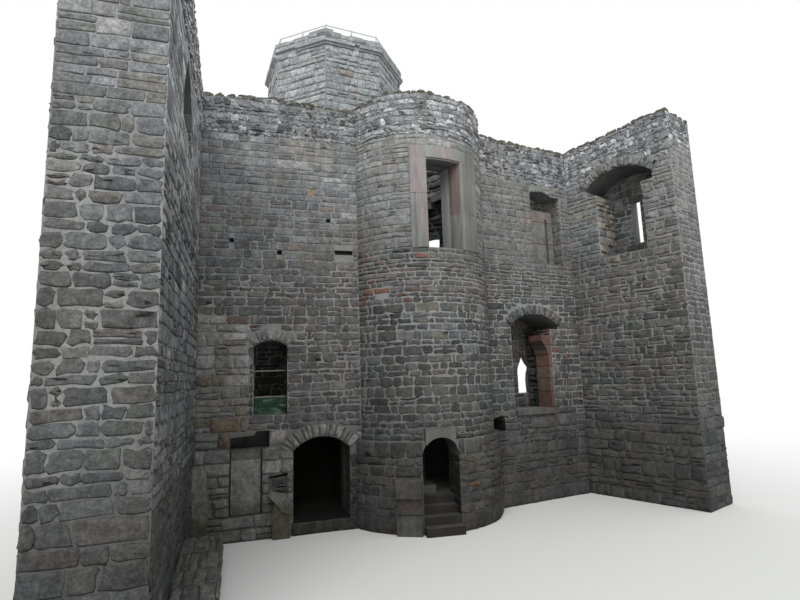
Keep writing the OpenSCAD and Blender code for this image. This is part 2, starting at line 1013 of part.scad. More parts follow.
// Right return wall with its arched embrasure
module right_wall() {
    l = right_wall_l;
    color(stone)
    place()
        in_right_wall()
            difference() {
                intersection() {
                    upright(wall_t)
                        polygon([
                            [-right_mitre, 0], [l, 0], [l, wall_h - 60], [l - 700, wall_h - 10],
                            [2000, wall_h - 80], [1200, wall_h - 160], [500, wall_h - 140],
                            [0, wall_h - 170], [-right_mitre, wall_h - 150]
                        ]);
                    linear_extrude(sky)
                        polygon([[0, 0], [l, 0], [l, wall_t], [-right_mitre, wall_t]]);
                }
                translate([recess_x, -eps, recess_z])
                    upright(recess_deep)
                        recess_profile();
                translate([recess_x, -eps, 0])
                    upright(ring_deep + eps)
                        arch_seat(recess_w, recess_spring, recess_rise, recess_ring);
                translate([recess_x + recess_w / 2 - 150, recess_deep / 2, recess_z + 500])
                    cube([300, wall_t, 1500]);
            }
}

module right_recess_arch() {
    color(stone)
    place()
        in_right_wall()
            translate([recess_x, 0, 0])
                voussoirs(recess_w, recess_spring, recess_rise, recess_ring, 15, ring_deep, 50);
}

keep_wall(0);  // keep_wall_1
keep_wall(1);  // keep_wall_2
keep_wall(2);  // keep_wall_3
keep_wall(3);  // keep_wall_4
keep_wall(4);  // keep_wall_5
keep_wall(5);  // keep_wall_6
keep_wall(6);  // keep_wall_7
keep_wall(7);  // keep_wall_8
keep_cornice();
keep_parapet();
keep_platform();
keep_railing();
cellar_vault();
passage_wall();
left_wall();
left_bay_lower();
left_bay_middle();
left_bay_upper();
left_door_arch();
left_window_arch();
window_rails();
window_mesh();
niche_slab();
leaning_slabs();
footing_stub();
turret_base_left();
turret_base_right();
turret_shaft();
turret_window_wall();
turret_head();
turret_door_head();
turret_jamb_stones();
turret_steps();
turret_window_jambs();
turret_window_lintel();
stair_flight_1();
stair_flight_2();
stair_flight_3();
right_bay_lower();
right_bay_middle();
right_bay_upper();
right_door_arch();
right_door_jamb();
right_threshold();
right_inner_wall();
right_window_frame();
right_wall();
right_recess_arch();
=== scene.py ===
import json
import math
from collections import namedtuple
from functools import partial

import bpy
import numpy as np
from bpy.props import FloatProperty, FloatVectorProperty, IntProperty, PointerProperty
from bpy.types import Operator, Panel, PropertyGroup
from mathutils import Matrix, Vector


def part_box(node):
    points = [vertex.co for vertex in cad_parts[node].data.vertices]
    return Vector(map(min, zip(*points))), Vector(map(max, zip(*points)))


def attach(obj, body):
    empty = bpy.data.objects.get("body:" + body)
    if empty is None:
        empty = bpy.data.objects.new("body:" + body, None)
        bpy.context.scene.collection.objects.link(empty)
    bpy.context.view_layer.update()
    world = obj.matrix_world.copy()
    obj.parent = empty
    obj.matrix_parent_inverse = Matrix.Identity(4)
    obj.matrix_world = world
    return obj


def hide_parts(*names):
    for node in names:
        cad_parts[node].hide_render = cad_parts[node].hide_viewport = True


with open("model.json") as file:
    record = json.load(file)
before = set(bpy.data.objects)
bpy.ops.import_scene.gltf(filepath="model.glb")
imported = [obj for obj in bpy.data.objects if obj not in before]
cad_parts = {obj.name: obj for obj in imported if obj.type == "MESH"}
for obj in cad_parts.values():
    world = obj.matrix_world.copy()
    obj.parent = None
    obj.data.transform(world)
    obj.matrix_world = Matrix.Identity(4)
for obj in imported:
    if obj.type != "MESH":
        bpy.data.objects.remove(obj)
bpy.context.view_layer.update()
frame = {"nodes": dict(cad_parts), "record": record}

bl_info = {
    "name": "Castle Ward Stonework",
    "version": (1, 1, 0),
    "blender": (4, 5, 0),
    "location": "3D View > Sidebar > Ward",
    "description": "Lays the stones of a ruined castle ward on its walls, stair turret and keep",
    "category": "Add Mesh",
}


def outline(*points):
    """Outline of an opening from its points, as an array."""
    return np.array(points, float)


def box(left, right, low, high):
    """Outline of an upright rectangle, from its lower left corner round."""
    return outline((left, low), (right, low), (right, high), (left, high))


# Sizes of the ward in metres, from the foot of the left inner corner
WARD_H = 11.7
WALL_T = 1.5
LEFT_LENGTH = 6.2
RIGHT_LENGTH = 3.6
FLOOR_Z = 2.75
TURRET = (6.2, 0.975)
TURRET_R = 2.2
BASE_R = 2.32
BASE_H = 2.25
WELL_R = 1.4
TURRET_H = 11.85
TURRET_DIPS = ((-60, 0.09), (15, 0.06), (130, 0.11), (-160, 0.08))
DOOR_TURN = -5.0
DOOR_HEAD = 1.85
JAMB_TURN = -26.0
BACK_DOOR_TURN = 140.0
# Heights of the turret's window sill and of the top of its lintel, and of the doorway to its landing,
# with half that one's width
TURRET_SILL, LINTEL_TOP = 7.35, 10.28
LANDING_SILL, LANDING_TOP, LANDING_HALF = 7.29, 8.64, 0.45
RIGHT_CORNER = (11.97, 0.975)
RIGHT_TURN = 10.5
RIGHT_WALL_TURN = -68.0
RIGHT_MITRE = WALL_T * math.tan(math.radians((RIGHT_TURN - RIGHT_WALL_TURN) / 2))
KEEP = (4.68, 6.09)
KEEP_SIDES = 8
KEEP_R = 2.76
KEEP_TURN = -106.0
KEEP_H = 16.15
CORNICE_H = 0.17
CORNICE_PROUD = 0.15
PARAPET_H = 0.35
VAULT_BACK = 3.63
PASSAGE_Y = 2.9
PASSAGE_T = 0.7
PASSAGE_H = 7.2
PASSAGE_END = 4.28
# Where the rear faces of the passage and of the vault meet the keep, the vault's also on its right
PASSAGE_KEEP, VAULT_KEEP, VAULT_KEEP_RIGHT = 3.714, 3.676, 5.62
# Width of the passage's end that stands free of the keep, and where the vault's side meets the turret
PASSAGE_FREE, TURRET_BACK = 0.57, 3.18

# Arched openings in the faces that they are cut through: sides, sill, springing and rise, then the
# ring's depth, the count of its stones and how far they stand proud
Arch = namedtuple("Arch", "left right sill spring rise ring count proud")
LEFT_DOOR = Arch(2.42, 3.91, 0.3, 2.08, 0.33, 0.38, 13, 0.07)
LEFT_WINDOW = Arch(1.42, 2.27, 3.02, 4.8, 0.15, 0.33, 7, 0.04)
RIGHT_DOOR = Arch(-2.85, -0.85, 2.78, 5.4, 0.38, 0.33, 15, 0.05)
RECESS = Arch(0.75, 3.0, 9.7, 9.95, 0.45, 0.33, 15, 0.05)

# Broken openings and hollows of the left bay, the return walls and the right bay
NICHE = box(0.86, 1.64, 0.62, 2.21)
POCKET = outline((0.86, 2.2), (1.82, 2.2), (1.82, 2.64), (1.48, 2.63), (1.45, 2.54), (0.86, 2.5))
FALLEN = outline((1.8, 1.49), (1.84, 1.08), (2.27, 1.06), (2.27, 1.56))
WINDOW_BREAK = outline((1.43, 4.27), (1.345, 4.48), (1.265, 4.72), (1.33, 4.79), (1.43, 4.79))
# Height at which the left window's side is broken from, and how deep
BREAK_Z, BREAK_DEEP = 4.29, 0.45
PUTLOGS = [
    box(1.99, 2.12, 7.27, 7.4), box(3.33, 3.46, 8.24, 8.36), box(0.76, 0.88, 7.56, 7.68),
    box(3.56, 4.08, 7.33, 7.46),
]
SOCKETS = [box(0.8, 1.22, 5.25, 5.58), box(1.5, 1.8, 3.9, 4.23), box(3.6, 3.95, 5.35, 5.68)]
LANCET_DEEP = 0.7
LANCET = outline(
    (2.5, 8.9), (4.15, 8.9), (4.15, 9.4), (3.95, 9.9), (3.6, 10.38), (3.1, 10.15), (2.65, 9.7), (2.5, 9.4)
)
LANCET_LIGHT = outline((3.075, 8.9), (3.575, 8.9), (3.575, 9.85), (3.325, 10.15), (3.075, 9.85))
RIGHT_WINDOW = outline(
    (-1.7, 7.45), (-0.37, 7.45), (-0.37, 9.87), (-0.754, 9.86), (-0.96, 9.95), (-1.165, 9.985),
    (-1.6, 9.93), (-1.7, 9.88),
)
FRAME_DEEP = 0.44
REAR_WINDOW = box(-0.95, -0.35, 7.6, 9.3)
REAR_WINDOW_DEEP = 0.7
INNER_WALL_Y = 1.25
INFILL_X, INFILL_TOP = -1.22, 5.3
SLIT = outline(
    (-1.64, 3.23), (-1.1, 3.23), (-1.12, 3.65), (-1.08, 3.93), (-1.02, 4.03), (-1.03, 4.13),
    (-1.14, 4.24), (-1.24, 4.43), (-1.39, 4.69), (-1.47, 4.38), (-1.58, 4.18), (-1.64, 4.03),
)
HOLE = outline((-3.72, 2.18), (-3.26, 2.18), (-3.26, 2.5), (-3.38, 2.66), (-3.6, 2.66), (-3.72, 2.5))
HOLE_DEEP = 0.6
RECESS_LOW, RECESS_DEEP = 7.55, 1.1
RECESS_SLIT = box(1.725, 2.025, 8.05, 9.55)

# Top lines of the walls
LEFT_END = (-WALL_T, 11.62)
LEFT_TOP = outline(
    (0.0, 11.67), (0.3, 11.67), (0.9, 11.72), (1.7, 11.76), (2.6, 11.72), (3.5, 11.66), (3.9, 11.6),
    (4.3, 11.58),
)
LEFT_WALL_TOP = outline(
    LEFT_END, (0.0, 11.66), (0.7, 11.76), (1.5, 11.86), (2.3, 12.03), (3.4, 12.08), (5.3, 12.12), (6.2, 11.95)
)
RIGHT_TOP = outline(
    (-3.75, 11.55), (-3.3, 11.53), (-2.5, 11.48), (-1.6, 11.5), (-0.7, 11.49), (0.0, 11.53), (1.2255, 11.55)
)
RIGHT_WALL_TOP = outline(
    (-1.2255, 11.55), (0.0, 11.53), (0.5, 11.56), (1.2, 11.54), (2.0, 11.62), (2.9, 11.69), (3.6, 11.64)
)

# Broken footing along the left return wall
FOOTING_W = 0.76
FOOTING_Y = -5.2
FOOTING_TOP = outline(
    (0.0, 0.24), (0.7, 0.3), (1.3, 0.46), (1.9, 0.52), (2.5, 0.64), (3.1, 0.7), (3.65, 0.62)
)

# The corner's place in the frame
low_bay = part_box("left_bay_lower")[0]
CORNER = np.array([low_bay.x + WALL_T, low_bay.y, 0.0])
UP = np.array([0.0, 0.0, 1.0])


def linear(code):
    """Linear colour of an sRGB hex code."""
    parts = [int(code[i : i + 2], 16) / 255 for i in (1, 3, 5)]
    return tuple(c / 12.92 if c <= 0.04045 else ((c + 0.055) / 1.055) ** 2.4 for c in parts)


class Flat:
    """A plane face: u runs along it, v up it and h out of it."""

    def __init__(self, foot, along, up=UP):
        self.foot, self.along, self.up = (np.asarray(part, float) for part in (foot, along, up))
        self.out = np.cross(self.along, self.up)

    def place(self, u, v, h=0.0):
        """Points of the space at u, v and h: the foot plus so much along, up and out."""
        u, v, h = (np.asarray(part)[..., None] for part in (u, v, h))
        return self.foot + u * self.along + v * self.up + h * self.out


class Round:
    """A face round an upright axis: u is the arc from the side that looks along -Y, towards +X."""

    def __init__(self, centre, radius, inward=False):
        self.centre = CORNER + np.array([*centre, 0.0])
        self.radius = radius
        self.sign = -1.0 if inward else 1.0

    def at(self, turn, reach, z):
        """Points at turns round the axis, at their reach from it and their height."""
        return self.centre + np.stack([reach * np.sin(turn), -reach * np.cos(turn), z], axis=-1)

    def place(self, u, v, h):
        """Points on the round face: the turn is the arc over the radius, and h adds to the radius."""
        return self.at(self.sign * u / self.radius, self.radius + self.sign * h, v)


class Brim(Round):
    """The flat top of a round wall: u is the arc at the outer edge, v runs inwards and h up."""

    def __init__(self, centre, radius, top):
        super().__init__(centre, radius)
        self.top = top

    def place(self, u, v, h):
        """Points over the flat top, whose height follows the turn."""
        turn = u / self.radius
        return self.at(turn, self.radius - v, self.top(turn) + h)


class ArchRing:
    """The ring of an arch in a flat face: u is the arc at the ring's middle, v the radius."""

    def __init__(self, face, middle, height, radius):
        self.face = face
        self.middle = middle
        self.height = height
        self.radius = radius

    def place(self, u, v, h):
        """Points on the wall at an arc along the ring and a distance from its centre."""
        turn = u / self.radius
        return self.face.place(self.middle + v * np.sin(turn), self.height + v * np.cos(turn), h)


def wall_face(x, y, turn, along=0.0, deep=0.0, swing=0.0):
    """Upright face that starts at x, y, runs in the direction turn and looks to its right. It may
    start further along or deeper in the wall, and swing to another direction there."""
    a, b = math.radians(turn), math.radians(turn + swing)
    x += along * math.cos(a) - deep * math.sin(a)
    y += along * math.sin(a) + deep * math.cos(a)
    return Flat(CORNER + np.array([x, y, 0.0]), [math.cos(b), math.sin(b), 0.0])


def reveals(face, left, right, depth):
    """The two sides of an opening, which look at each other; u runs in on the left, out on the right."""
    return Flat(face.place(left, 0.0), -face.out), Flat(face.place(right, 0.0, -depth), face.out)


def ends(points):
    """Left and right end of an outline."""
    return points[:, 0].min(), points[:, 0].max()


def mirrored(points, at):
    """Outline or line as it is met from behind, where u runs back from a place."""
    return points * (-1, 1) + (at, 0)


def half_chord(radius, away):
    """Half the width of a circle along a line that passes its middle at a distance."""
    return math.sqrt(radius**2 - away**2)


def arch_place(arch):
    """Middle, centre height, radius and half angle of an arch's inner curve."""
    width = arch.right - arch.left
    radius = (width * width / 4 + arch.rise * arch.rise) / (2 * arch.rise)
    half = math.asin(width / 2 / radius)
    return (arch.left + arch.right) / 2, arch.spring + arch.rise - radius, radius, half


def arch_curve(arch, grow, spread=0.0):
    """Points along an arch at a distance outside its inner curve, from left to right."""
    middle, height, radius, half = arch_place(arch)
    reach = radius + grow
    angles = np.linspace(-half - spread, half + spread, 13)
    return outline(*[(middle + reach * math.sin(a), height + reach * math.cos(a)) for a in angles])


def arch_outline(arch, foot):
    """Outline of an opening and of the ring over it, closed by the points of its foot, right to left."""
    ring = arch_curve(arch, arch.ring + 0.012, 0.02)
    return outline((arch.left, arch.spring), *ring, (arch.right, arch.spring), *foot)


def sill_foot(arch):
    """The two ends of an opening's sill, from right to left."""
    return (arch.right, arch.sill), (arch.left, arch.sill)


def crossings(points, v):
    """Where an outline is crossed at one height, in pairs."""
    after = np.roll(points, -1, axis=0)
    cut = (points[:, 1] > v) != (after[:, 1] > v)
    here, there = points[cut], after[cut]
    share = (v - here[:, 1]) / (there[:, 1] - here[:, 1])
    found = np.sort(here[:, 0] + share * (there[:, 0] - here[:, 0]))
    return list(zip(found[::2], found[1::2]))


def clear_of(points):
    """Pushes points out of an outline, to its nearest side."""
    after = np.roll(points, -1, axis=0)
    side = after - points
    slope = side[:, 0] / np.where(side[:, 1] == 0, 1.0, side[:, 1])
    length = (side**2).sum(1)

    def push(u, v):
        """Moves each point inside the outline to the nearest place on its sides."""
        p = np.stack([u, v], -1)
        here = p[..., 1, None]
        crossed = (points[:, 1] > here) != (after[:, 1] > here)
        beside = p[..., 0, None] < points[:, 0] + (here - points[:, 1]) * slope
        inside = (crossed & beside).sum(-1) % 2 == 1
        caught = p[inside][:, None]
        along = np.clip(((caught - points) * side).sum(-1) / length, 0, 1)
        foot = points + along[..., None] * side
        near = ((caught - foot) ** 2).sum(-1).argmin(1)
        p[inside] = foot[np.arange(len(near)), near]
        return p[..., 0], p[..., 1]

    return push


def under_line(line):
    """Keeps points under a line of corners."""
    xs, zs = line[line[:, 0].argsort()].T
    return lambda u, v: (u, np.minimum(v, np.interp(u, xs, zs)))


# How each kind of masonry is laid, in metres: the mean course and stone length, the joint, how far
# the faces stand out and how much that varies, the rounding of the corners, the unevenness of the
# outline and of the face, the crown of the face, how askew the faces lie, the wander of the beds,
# and the shares of split and of lost stones
Kind = namedtuple("Kind", "course length gap proud spread corner jitter rough crown skew wander split lost")
POINTED = Kind(0.205, 0.34, 0.029, 0.007, 0.5, 0.036, 0.014, 0.004, 0.005, 0.022, 0.016, 0.10, 0.0)
COURSED = Kind(0.205, 0.44, 0.018, 0.009, 0.7, 0.018, 0.007, 0.004, 0.003, 0.018, 0.008, 0.12, 0.0)
THIN = Kind(0.130, 0.34, 0.024, 0.012, 0.9, 0.024, 0.010, 0.005, 0.004, 0.030, 0.014, 0.0, 0.01)
BLOCKS = Kind(0.265, 0.46, 0.024, 0.014, 0.9, 0.030, 0.013, 0.006, 0.006, 0.030, 0.018, 0.22, 0.0)
RUBBLE = Kind(0.140, 0.18, 0.018, 0.010, 0.9, 0.034, 0.024, 0.008, 0.008, 0.035, 0.035, 0.0, 0.02)
FOOTING = Kind(0.280, 0.44, 0.026, 0.018, 0.9, 0.036, 0.014, 0.009, 0.008, 0.040, 0.020, 0.20, 0.0)
BOSSED = Kind(0.255, 0.46, 0.018, 0.018, 0.9, 0.030, 0.012, 0.007, 0.009, 0.020, 0.008, 0.05, 0.0)
CAPPING = Kind(0.300, 0.34, 0.006, 0.085, 0.35, 0.060, 0.030, 0.016, 0.020, 0.050, 0.020, 0.10, 0.0)
REAR = Kind(0.240, 0.46, 0.028, 0.012, 0.6, 0.036, 0.012, 0.005, 0.006, 0.025, 0.014, 0.08, 0.0)

# Stone colours and how often each is met, by kind of wall. The dark, unlit and shaded tones are darker to
# paint the shade in reveals, recesses and by the doorways.
GREY = [("#828283", 6), ("#8b8b8c", 4), ("#767677", 3), ("#84827e", 2), ("#7f807d", 2), ("#979797", 1)]
POINTED_GREY = [
    ("#747475", 6), ("#808081", 4), ("#666667", 3), ("#797773", 2), ("#747672", 2), ("#929292", 1)
]
ROUGH = [("#a2a3a6", 5), ("#929396", 4), ("#b4b5b8", 2), ("#818285", 2), ("#c2c3c6", 1), ("#6c6c6e", 1)]
CREST = [("#b7b8bc", 5), ("#a7a8ac", 4), ("#c9cace", 2), ("#949599", 2), ("#d6d7db", 1), ("#7a7a7d", 1)]
WORN = [("#949598", 5), ("#87888b", 4), ("#a5a6a9", 2), ("#737477", 3), ("#b6b7ba", 1), ("#58585a", 2)]
PALE = [("#8d8d8c", 5), ("#969695", 3), ("#848483", 3), ("#8c8a86", 2), ("#888a86", 1)]
UNLIT = [("#4b4a49", 3), ("#403f3e", 2), ("#555452", 1)]
# Dark tones for reveals, recesses and faces seen through openings: painted shade
SHADE_DARK = [("#6a6967", 4), ("#5c5c5c", 3), ("#7d7b78", 2), ("#8f8e90", 1), ("#63605a", 1)]
MIXED = [("#7f7f7e", 5), ("#82807b", 3), ("#83807c", 2), ("#7d7f7a", 2), ("#8c8b8a", 2), ("#737373", 2)]
DULL = [("#787877", 5), ("#7a7771", 3), ("#797571", 2), ("#74766f", 2), ("#848382", 2), ("#6a6a69", 2)]
LIT = [("#bdbdbb", 5), ("#bfbcb5", 3), ("#bcb7b1", 2), ("#b6b8b0", 2), ("#cccbc8", 2), ("#a8a8a6", 2)]
KEEP_TONES = [("#999d9f", 5), ("#a1a5a7", 3), ("#909496", 3), ("#9a9c9d", 2), ("#999a9a", 1)]
PINKS = ["#8d837f", "#8b8580", "#89807c", "#918c87"]
SHADED = ["#6c6b69", "#646361", "#72706c", "#5c5b5a"]
REDS = ["#8a7974", "#8d7f79", "#90827b", "#87807c", "#8b8886"]
WARM = ["#b1a79d", "#aaa198", "#b0aa99"]
OCHRES = ["#8c8980", "#8a8780", "#908c80", "#888680"]

# A hole lower than this is met by the one course that it lies in, unless it only grazes it
SMALL_HOLE, GRAZE = 0.2, 0.02
# How deep a block is sunk in the wall, how far the ring of its face lies inside its outline, and the
# smallest block that this is worked out for
SUNK, INSET, LEAST_SIZE = 0.02, 0.022, 0.09
# Width of a block's back and of its innermost ring, as shares of its face
BACK_SHARE, CROWN_SHARE = 0.97, 0.55
# Height of the block's edge as a share of its face's, and of its innermost ring as one of the crown's
EDGE_RISE, CROWN_RISE = 0.3, 0.7
# Least width and height of a block beside its joint, and the least area that is left of one, in
# square metres and as a share of its rectangle
LEAST_WIDTH, LEAST_HEIGHT, LEAST_AREA, LEAST_SHARE = 0.04, 0.03, 0.003, 0.3


def bed_wander(rng, height):
    """Height of a bed along the wall: two slow waves with their own phases."""
    phase = rng.uniform(0, 6.3, 2)
    return lambda u: height * (0.6 * np.sin(1.3 * u + phase[0]) + 0.4 * np.sin(3.7 * u + phase[1]))


def free_lengths(start, end, holes, bed, top):
    """What is left of a course once the openings that it meets are taken out. A hole that is lower
    than a course is met at its own height, unless it only grazes the course."""
    here, met = start, []
    for points in holes:
        low, high = points[:, 1].min(), points[:, 1].max()
        small = high - low < SMALL_HOLE and high > bed + GRAZE and low < top - GRAZE
        met += crossings(points, (low + high) / 2 if small else (bed + top) / 2)
    for left, right in sorted(met):
        if left > here:
            yield here, min(left, end)
        here = max(here, right)
    if here < end:
        yield here, end


def quads(*corners):
    """Quadrilaterals from the u and v of their corners, lower left one first."""
    return np.stack([np.stack(pair, -1) for pair in corners], 1)


def shared_out(start, end, shares):
    """Places from start to end whose steps are as the shares."""
    return start + np.concatenate([[0.0], np.cumsum(shares)]) * (end - start) / shares.sum()


def lay_courses(rng, start, end, levels, kind, holes=()):
    """Coursed stones. Course heights are drawn and scaled to the levels that they lie between, and
    every free length is shared out between stones of uneven width. Returns the corners of each
    stone, from its lower left one round."""
    corners = []
    lower = bed_wander(rng, 0.0)
    for low, high in zip(levels, levels[1:]):
        count = max(1, round((high - low) / kind.course))
        beds = shared_out(low, high, rng.uniform(0.62, 1.38, count))
        for bed, top in zip(beds, beds[1:]):
            upper = bed_wander(rng, 0.0 if top > levels[-1] - 1e-6 else kind.wander)
            for left, right in free_lengths(start, end, holes, bed, top):
                many = max(1, round((right - left) / kind.length))
                joints = shared_out(left, right, np.clip(rng.gamma(5.0, 0.2, many), 0.4, 2.2))
                lean = rng.normal(0.0, kind.jitter, many + 1)
                lean[0] = lean[-1] = 0.0
                foot, head = joints - lean, joints + lean
                z0, z1 = bed + lower(foot), top + upper(head)
                stones = quads(
                    (foot[:-1], z0[:-1]), (foot[1:], z0[1:]), (head[1:], z1[1:]), (head[:-1], z1[:-1])
                )
                stones = stones[rng.uniform(0, 1, many) >= kind.lost]
                many = len(stones)
                split = (rng.uniform(0, 1, many) < kind.split) & (top - bed > 0.2)
                share = rng.uniform(0.4, 0.6, (many, 1))
                left_mid = stones[:, 0] + share * (stones[:, 3] - stones[:, 0])
                right_mid = stones[:, 1] + share * (stones[:, 2] - stones[:, 1])
                under = np.stack([stones[:, 0], stones[:, 1], right_mid, left_mid], 1)[split]
                over = np.stack([left_mid, right_mid, stones[:, 2], stones[:, 3]], 1)[split]
                corners.append(np.concatenate([stones[~split], under, over]))
            lower = upper
    return np.concatenate(corners)


def pick_colours(rng, middles, tones, areas, marks):
    """A colour for each stone, drawn from the tones by their weights. In an area a share of the
    stones takes a colour of the area's own, and each mark sets the one stone nearest to it."""
    weights = np.array([w for _, w in tones], float)
    table = np.array([linear(code) for code, _ in tones])
    chosen = table[rng.choice(len(tones), len(middles), p=weights / weights.sum())]
    for left, right, low, high, share, codes in areas:
        u, v = middles.T
        within = (u > left) & (u < right) & (v > low) & (v < high)
        within &= rng.uniform(0, 1, len(middles)) < share
        own = np.array([linear(code) for code in codes])
        chosen = np.where(within[:, None], own[rng.integers(0, len(own), len(middles))], chosen)
    chosen = chosen * rng.uniform(0.86, 1.16, (len(middles), 1))
    for u, v, code in marks:
        reach = np.hypot(middles[:, 0] - u, 1.6 * (middles[:, 1] - v))
        near = reach.argmin()
        if reach[near] < 0.4:
            chosen[near] = linear(code)
    return chosen


def spans(corners):
    """Mean width and mean height of quadrilaterals."""
    sides = [np.hypot(*(corners[:, b] - corners[:, a]).T) for a, b in ((0, 1), (3, 2), (0, 3), (1, 2))]
    return (sides[0] + sides[1]) / 2, (sides[2] + sides[3]) / 2


class Stonework:
    """Gathers blocks of stone as whole arrays and makes one mesh of them."""

    def __init__(self, context, draw):
        self.rng = np.random.default_rng(context.scene.ward.seed + draw)
        self.points, self.loops, self.sizes, self.colours = [], [], [], []
        self.count = 0

    def lay(self, face, start, end, levels, kind, tones, holes=(), top=None, areas=(), marks=(), fine=True):
        """Courses of one kind of stone on a face, kept clear of its openings and under its top."""
        corners = lay_courses(self.rng, start, end, levels, kind, holes)
        laid = np.tile(np.array(kind), (len(corners), 1))
        shapes = [clear_of(points) for points in holes]
        if top:
            shapes.append(top)
        colours = pick_colours(self.rng, corners.mean(axis=1), tones, areas, marks)
        self.blocks(face, corners, laid, colours, shapes, fine)

    def cap(self, face, line, depth, kind, tones):
        """Stones on each length of a top line, over the wall's whole thickness. The depth is below
        zero where the wall lies in front of the face."""
        for here, there in zip(line, line[1:]):
            start, stop = face.place(*here), face.place(*there)
            length = math.dist(here, there)
            along = (stop - start) / length
            top = Flat(start, along, -face.out) if depth > 0 else Flat(stop, -along, face.out)
            self.lay(top, 0.0, length, [0.0, abs(depth)], kind, tones)

    def blocks(self, face, corners, laid, colours, shapes=(), fine=True):
        """Blocks whose outline is a rectangle with cut corners, carried through rings: one sunk in
        the wall, one at the edge of the face, one or two further in and higher, and a crown."""
        rng = self.rng
        width, height = spans(corners)
        keep = (width > laid[:, 2] + LEAST_WIDTH) & (height > laid[:, 2] + LEAST_HEIGHT)
        corners, colours, laid = corners[keep], colours[keep], laid[keep]
        gap, proud, spread, corner, jitter, rough, crown, skew = laid[:, 2:10].T
        width, height = width[keep] - gap, height[keep] - gap
        total = len(corners)
        if not total:
            return
        cut_u, cut_v = (
            np.minimum(corner / size * 2, 0.75) * rng.uniform(0.4, 1.5, total) for size in (width, height)
        )
        one, none = np.ones(total), np.zeros(total)
        quarter = [(one, 1 - cut_v), (1 - cut_u, one)]
        rim = []
        for su, sv in ((1, 1), (-1, 1), (-1, -1), (1, -1)):
            even = su * sv > 0
            if fine:
                rim.append((su * one, none) if even else (none, sv * one))
            rim += [(su * a, sv * b) for a, b in (quarter if even else quarter[::-1])]
        unit = np.array(rim).transpose(2, 0, 1)
        around = unit.shape[1]
        near = 1 - 2 * INSET / np.maximum(np.stack([width, height], -1), LEAST_SIZE)
        rings = [np.full((total, 2), BACK_SHARE), np.ones((total, 2)), near]
        front = proud * rng.uniform(1 - spread, 1 + spread)
        rises = [np.full(total, -SUNK), front * EDGE_RISE, front]
        if fine:
            rings.append(near * CROWN_SHARE)
            rises.append(front + CROWN_RISE * crown)
        shape_u, shape_v, shape_h = [], [], []
        wobble = rng.normal(0, 1, (total, around, 2)) * jitter[:, None, None]
        askew = rng.normal(0, 1, (total, 2)) * skew[:, None]
        scale_u, scale_v = (1 - gap / (size + gap) for size in (width, height))
        for k, (ring, rise) in enumerate(zip(rings, rises)):
            x = unit[:, :, 0] * (ring[:, :1] * scale_u[:, None])
            y = unit[:, :, 1] * (ring[:, 1:] * scale_v[:, None])
            p = self.blend(corners, x, y) + wobble * (0.5 if k > 1 else 1.0)
            shape_u.append(p[..., 0])
            shape_v.append(p[..., 1])
            lean = askew[:, :1] * x * width[:, None] + askew[:, 1:] * y * height[:, None]
            shape_h.append(rise[:, None] + (lean / 2 if k > 1 else 0 * lean))
        centre = self.blend(corners, *np.zeros((2, total, 1)))
        u, v = (np.concatenate([*shape, centre[..., k]], 1) for k, shape in enumerate((shape_u, shape_v)))
        for push in shapes:
            u, v = push(u, v)
        h = np.concatenate([*shape_h, (front + crown)[:, None]], 1)
        outer = h[:, 2 * around :]
        outer += rng.normal(0, 1, outer.shape) * rough[:, None]
        np.maximum(outer, 0.002, out=outer)
        edge = slice(around, 2 * around)
        area = self.area(u[:, edge], v[:, edge])
        kept = area > np.maximum(LEAST_AREA, LEAST_SHARE * width * height)
        self.add(face.place(u[kept], v[kept], h[kept]), colours[kept], around, len(rings))

    @staticmethod
    def blend(corners, x, y):
        """Point of each quadrilateral at x, y from -1 to 1, by weighting its four corners."""
        weights = [(1 - x) * (1 - y), (1 + x) * (1 - y), (1 + x) * (1 + y), (1 - x) * (1 + y)]
        return sum(w[..., None] * corners[:, None, i] for i, w in enumerate(weights)) / 4

    @staticmethod
    def area(u, v):
        """Area of each outline, from the cross products of its neighbouring corners."""
        return 0.5 * (u * np.roll(v, -1, 1) - v * np.roll(u, -1, 1)).sum(1)

    def add(self, points, colours, around, rings):
        """Faces of all blocks from the faces of one: bands between rings, a fan and a back."""
        k = np.arange(around)
        after = (k + 1) % around
        loops, sizes = [], []
        for r in range(rings - 1):
            low, high = r * around, (r + 1) * around
            loops.append(np.stack([low + k, low + after, high + after, high + k], 1).ravel())
            sizes += [4] * around
        last = (rings - 1) * around
        fan = np.stack([last + k, last + after, np.full(around, rings * around)], 1)
        loops.append(fan.ravel())
        sizes += [3] * around
        loops.append(k[::-1])
        sizes.append(around)
        one = np.concatenate(loops)
        each = points.shape[1]
        starts = self.count + np.arange(len(points)) * each
        self.loops.append((one[None] + starts[:, None]).ravel())
        self.sizes.append(np.tile(sizes, len(points)))
        self.points.append(points.reshape(-1, 3))
        self.colours.append(np.repeat(colours, each, axis=0))
        self.count += len(points) * each

    def build(self, name, stone="ward"):
        """One object at the origin with all the blocks, which rides on the building. Points that
        the ground would hide are lifted to it."""
        mesh = bpy.data.meshes.new(name)
        points = np.concatenate(self.points).astype(np.float32)
        points[:, 2] = np.maximum(points[:, 2], CORNER[2])
        loops = np.concatenate(self.loops).astype(np.int32)
        sizes = np.concatenate(self.sizes)
        starts = np.concatenate([[0], np.cumsum(sizes)[:-1]]).astype(np.int32)
        mesh.vertices.add(len(points))
        mesh.vertices.foreach_set("co", points.ravel())
        mesh.loops.add(len(loops))
        mesh.loops.foreach_set("vertex_index", loops)
        mesh.polygons.add(len(starts))
        mesh.polygons.foreach_set("loop_start", starts)
        mesh.update(calc_edges=True)
        tint = mesh.attributes.new("stone_colour", "FLOAT_COLOR", "POINT")
        rgba = np.ones((len(points), 4), np.float32)
        rgba[:, :3] = np.concatenate(self.colours)
        tint.data.foreach_set("color", rgba.ravel())
        mesh.shade_smooth()
        mesh.materials.append(stone_material(stone))
        piece = bpy.data.objects.new(name, mesh)
        bpy.context.collection.objects.link(piece)
        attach(piece, "root")


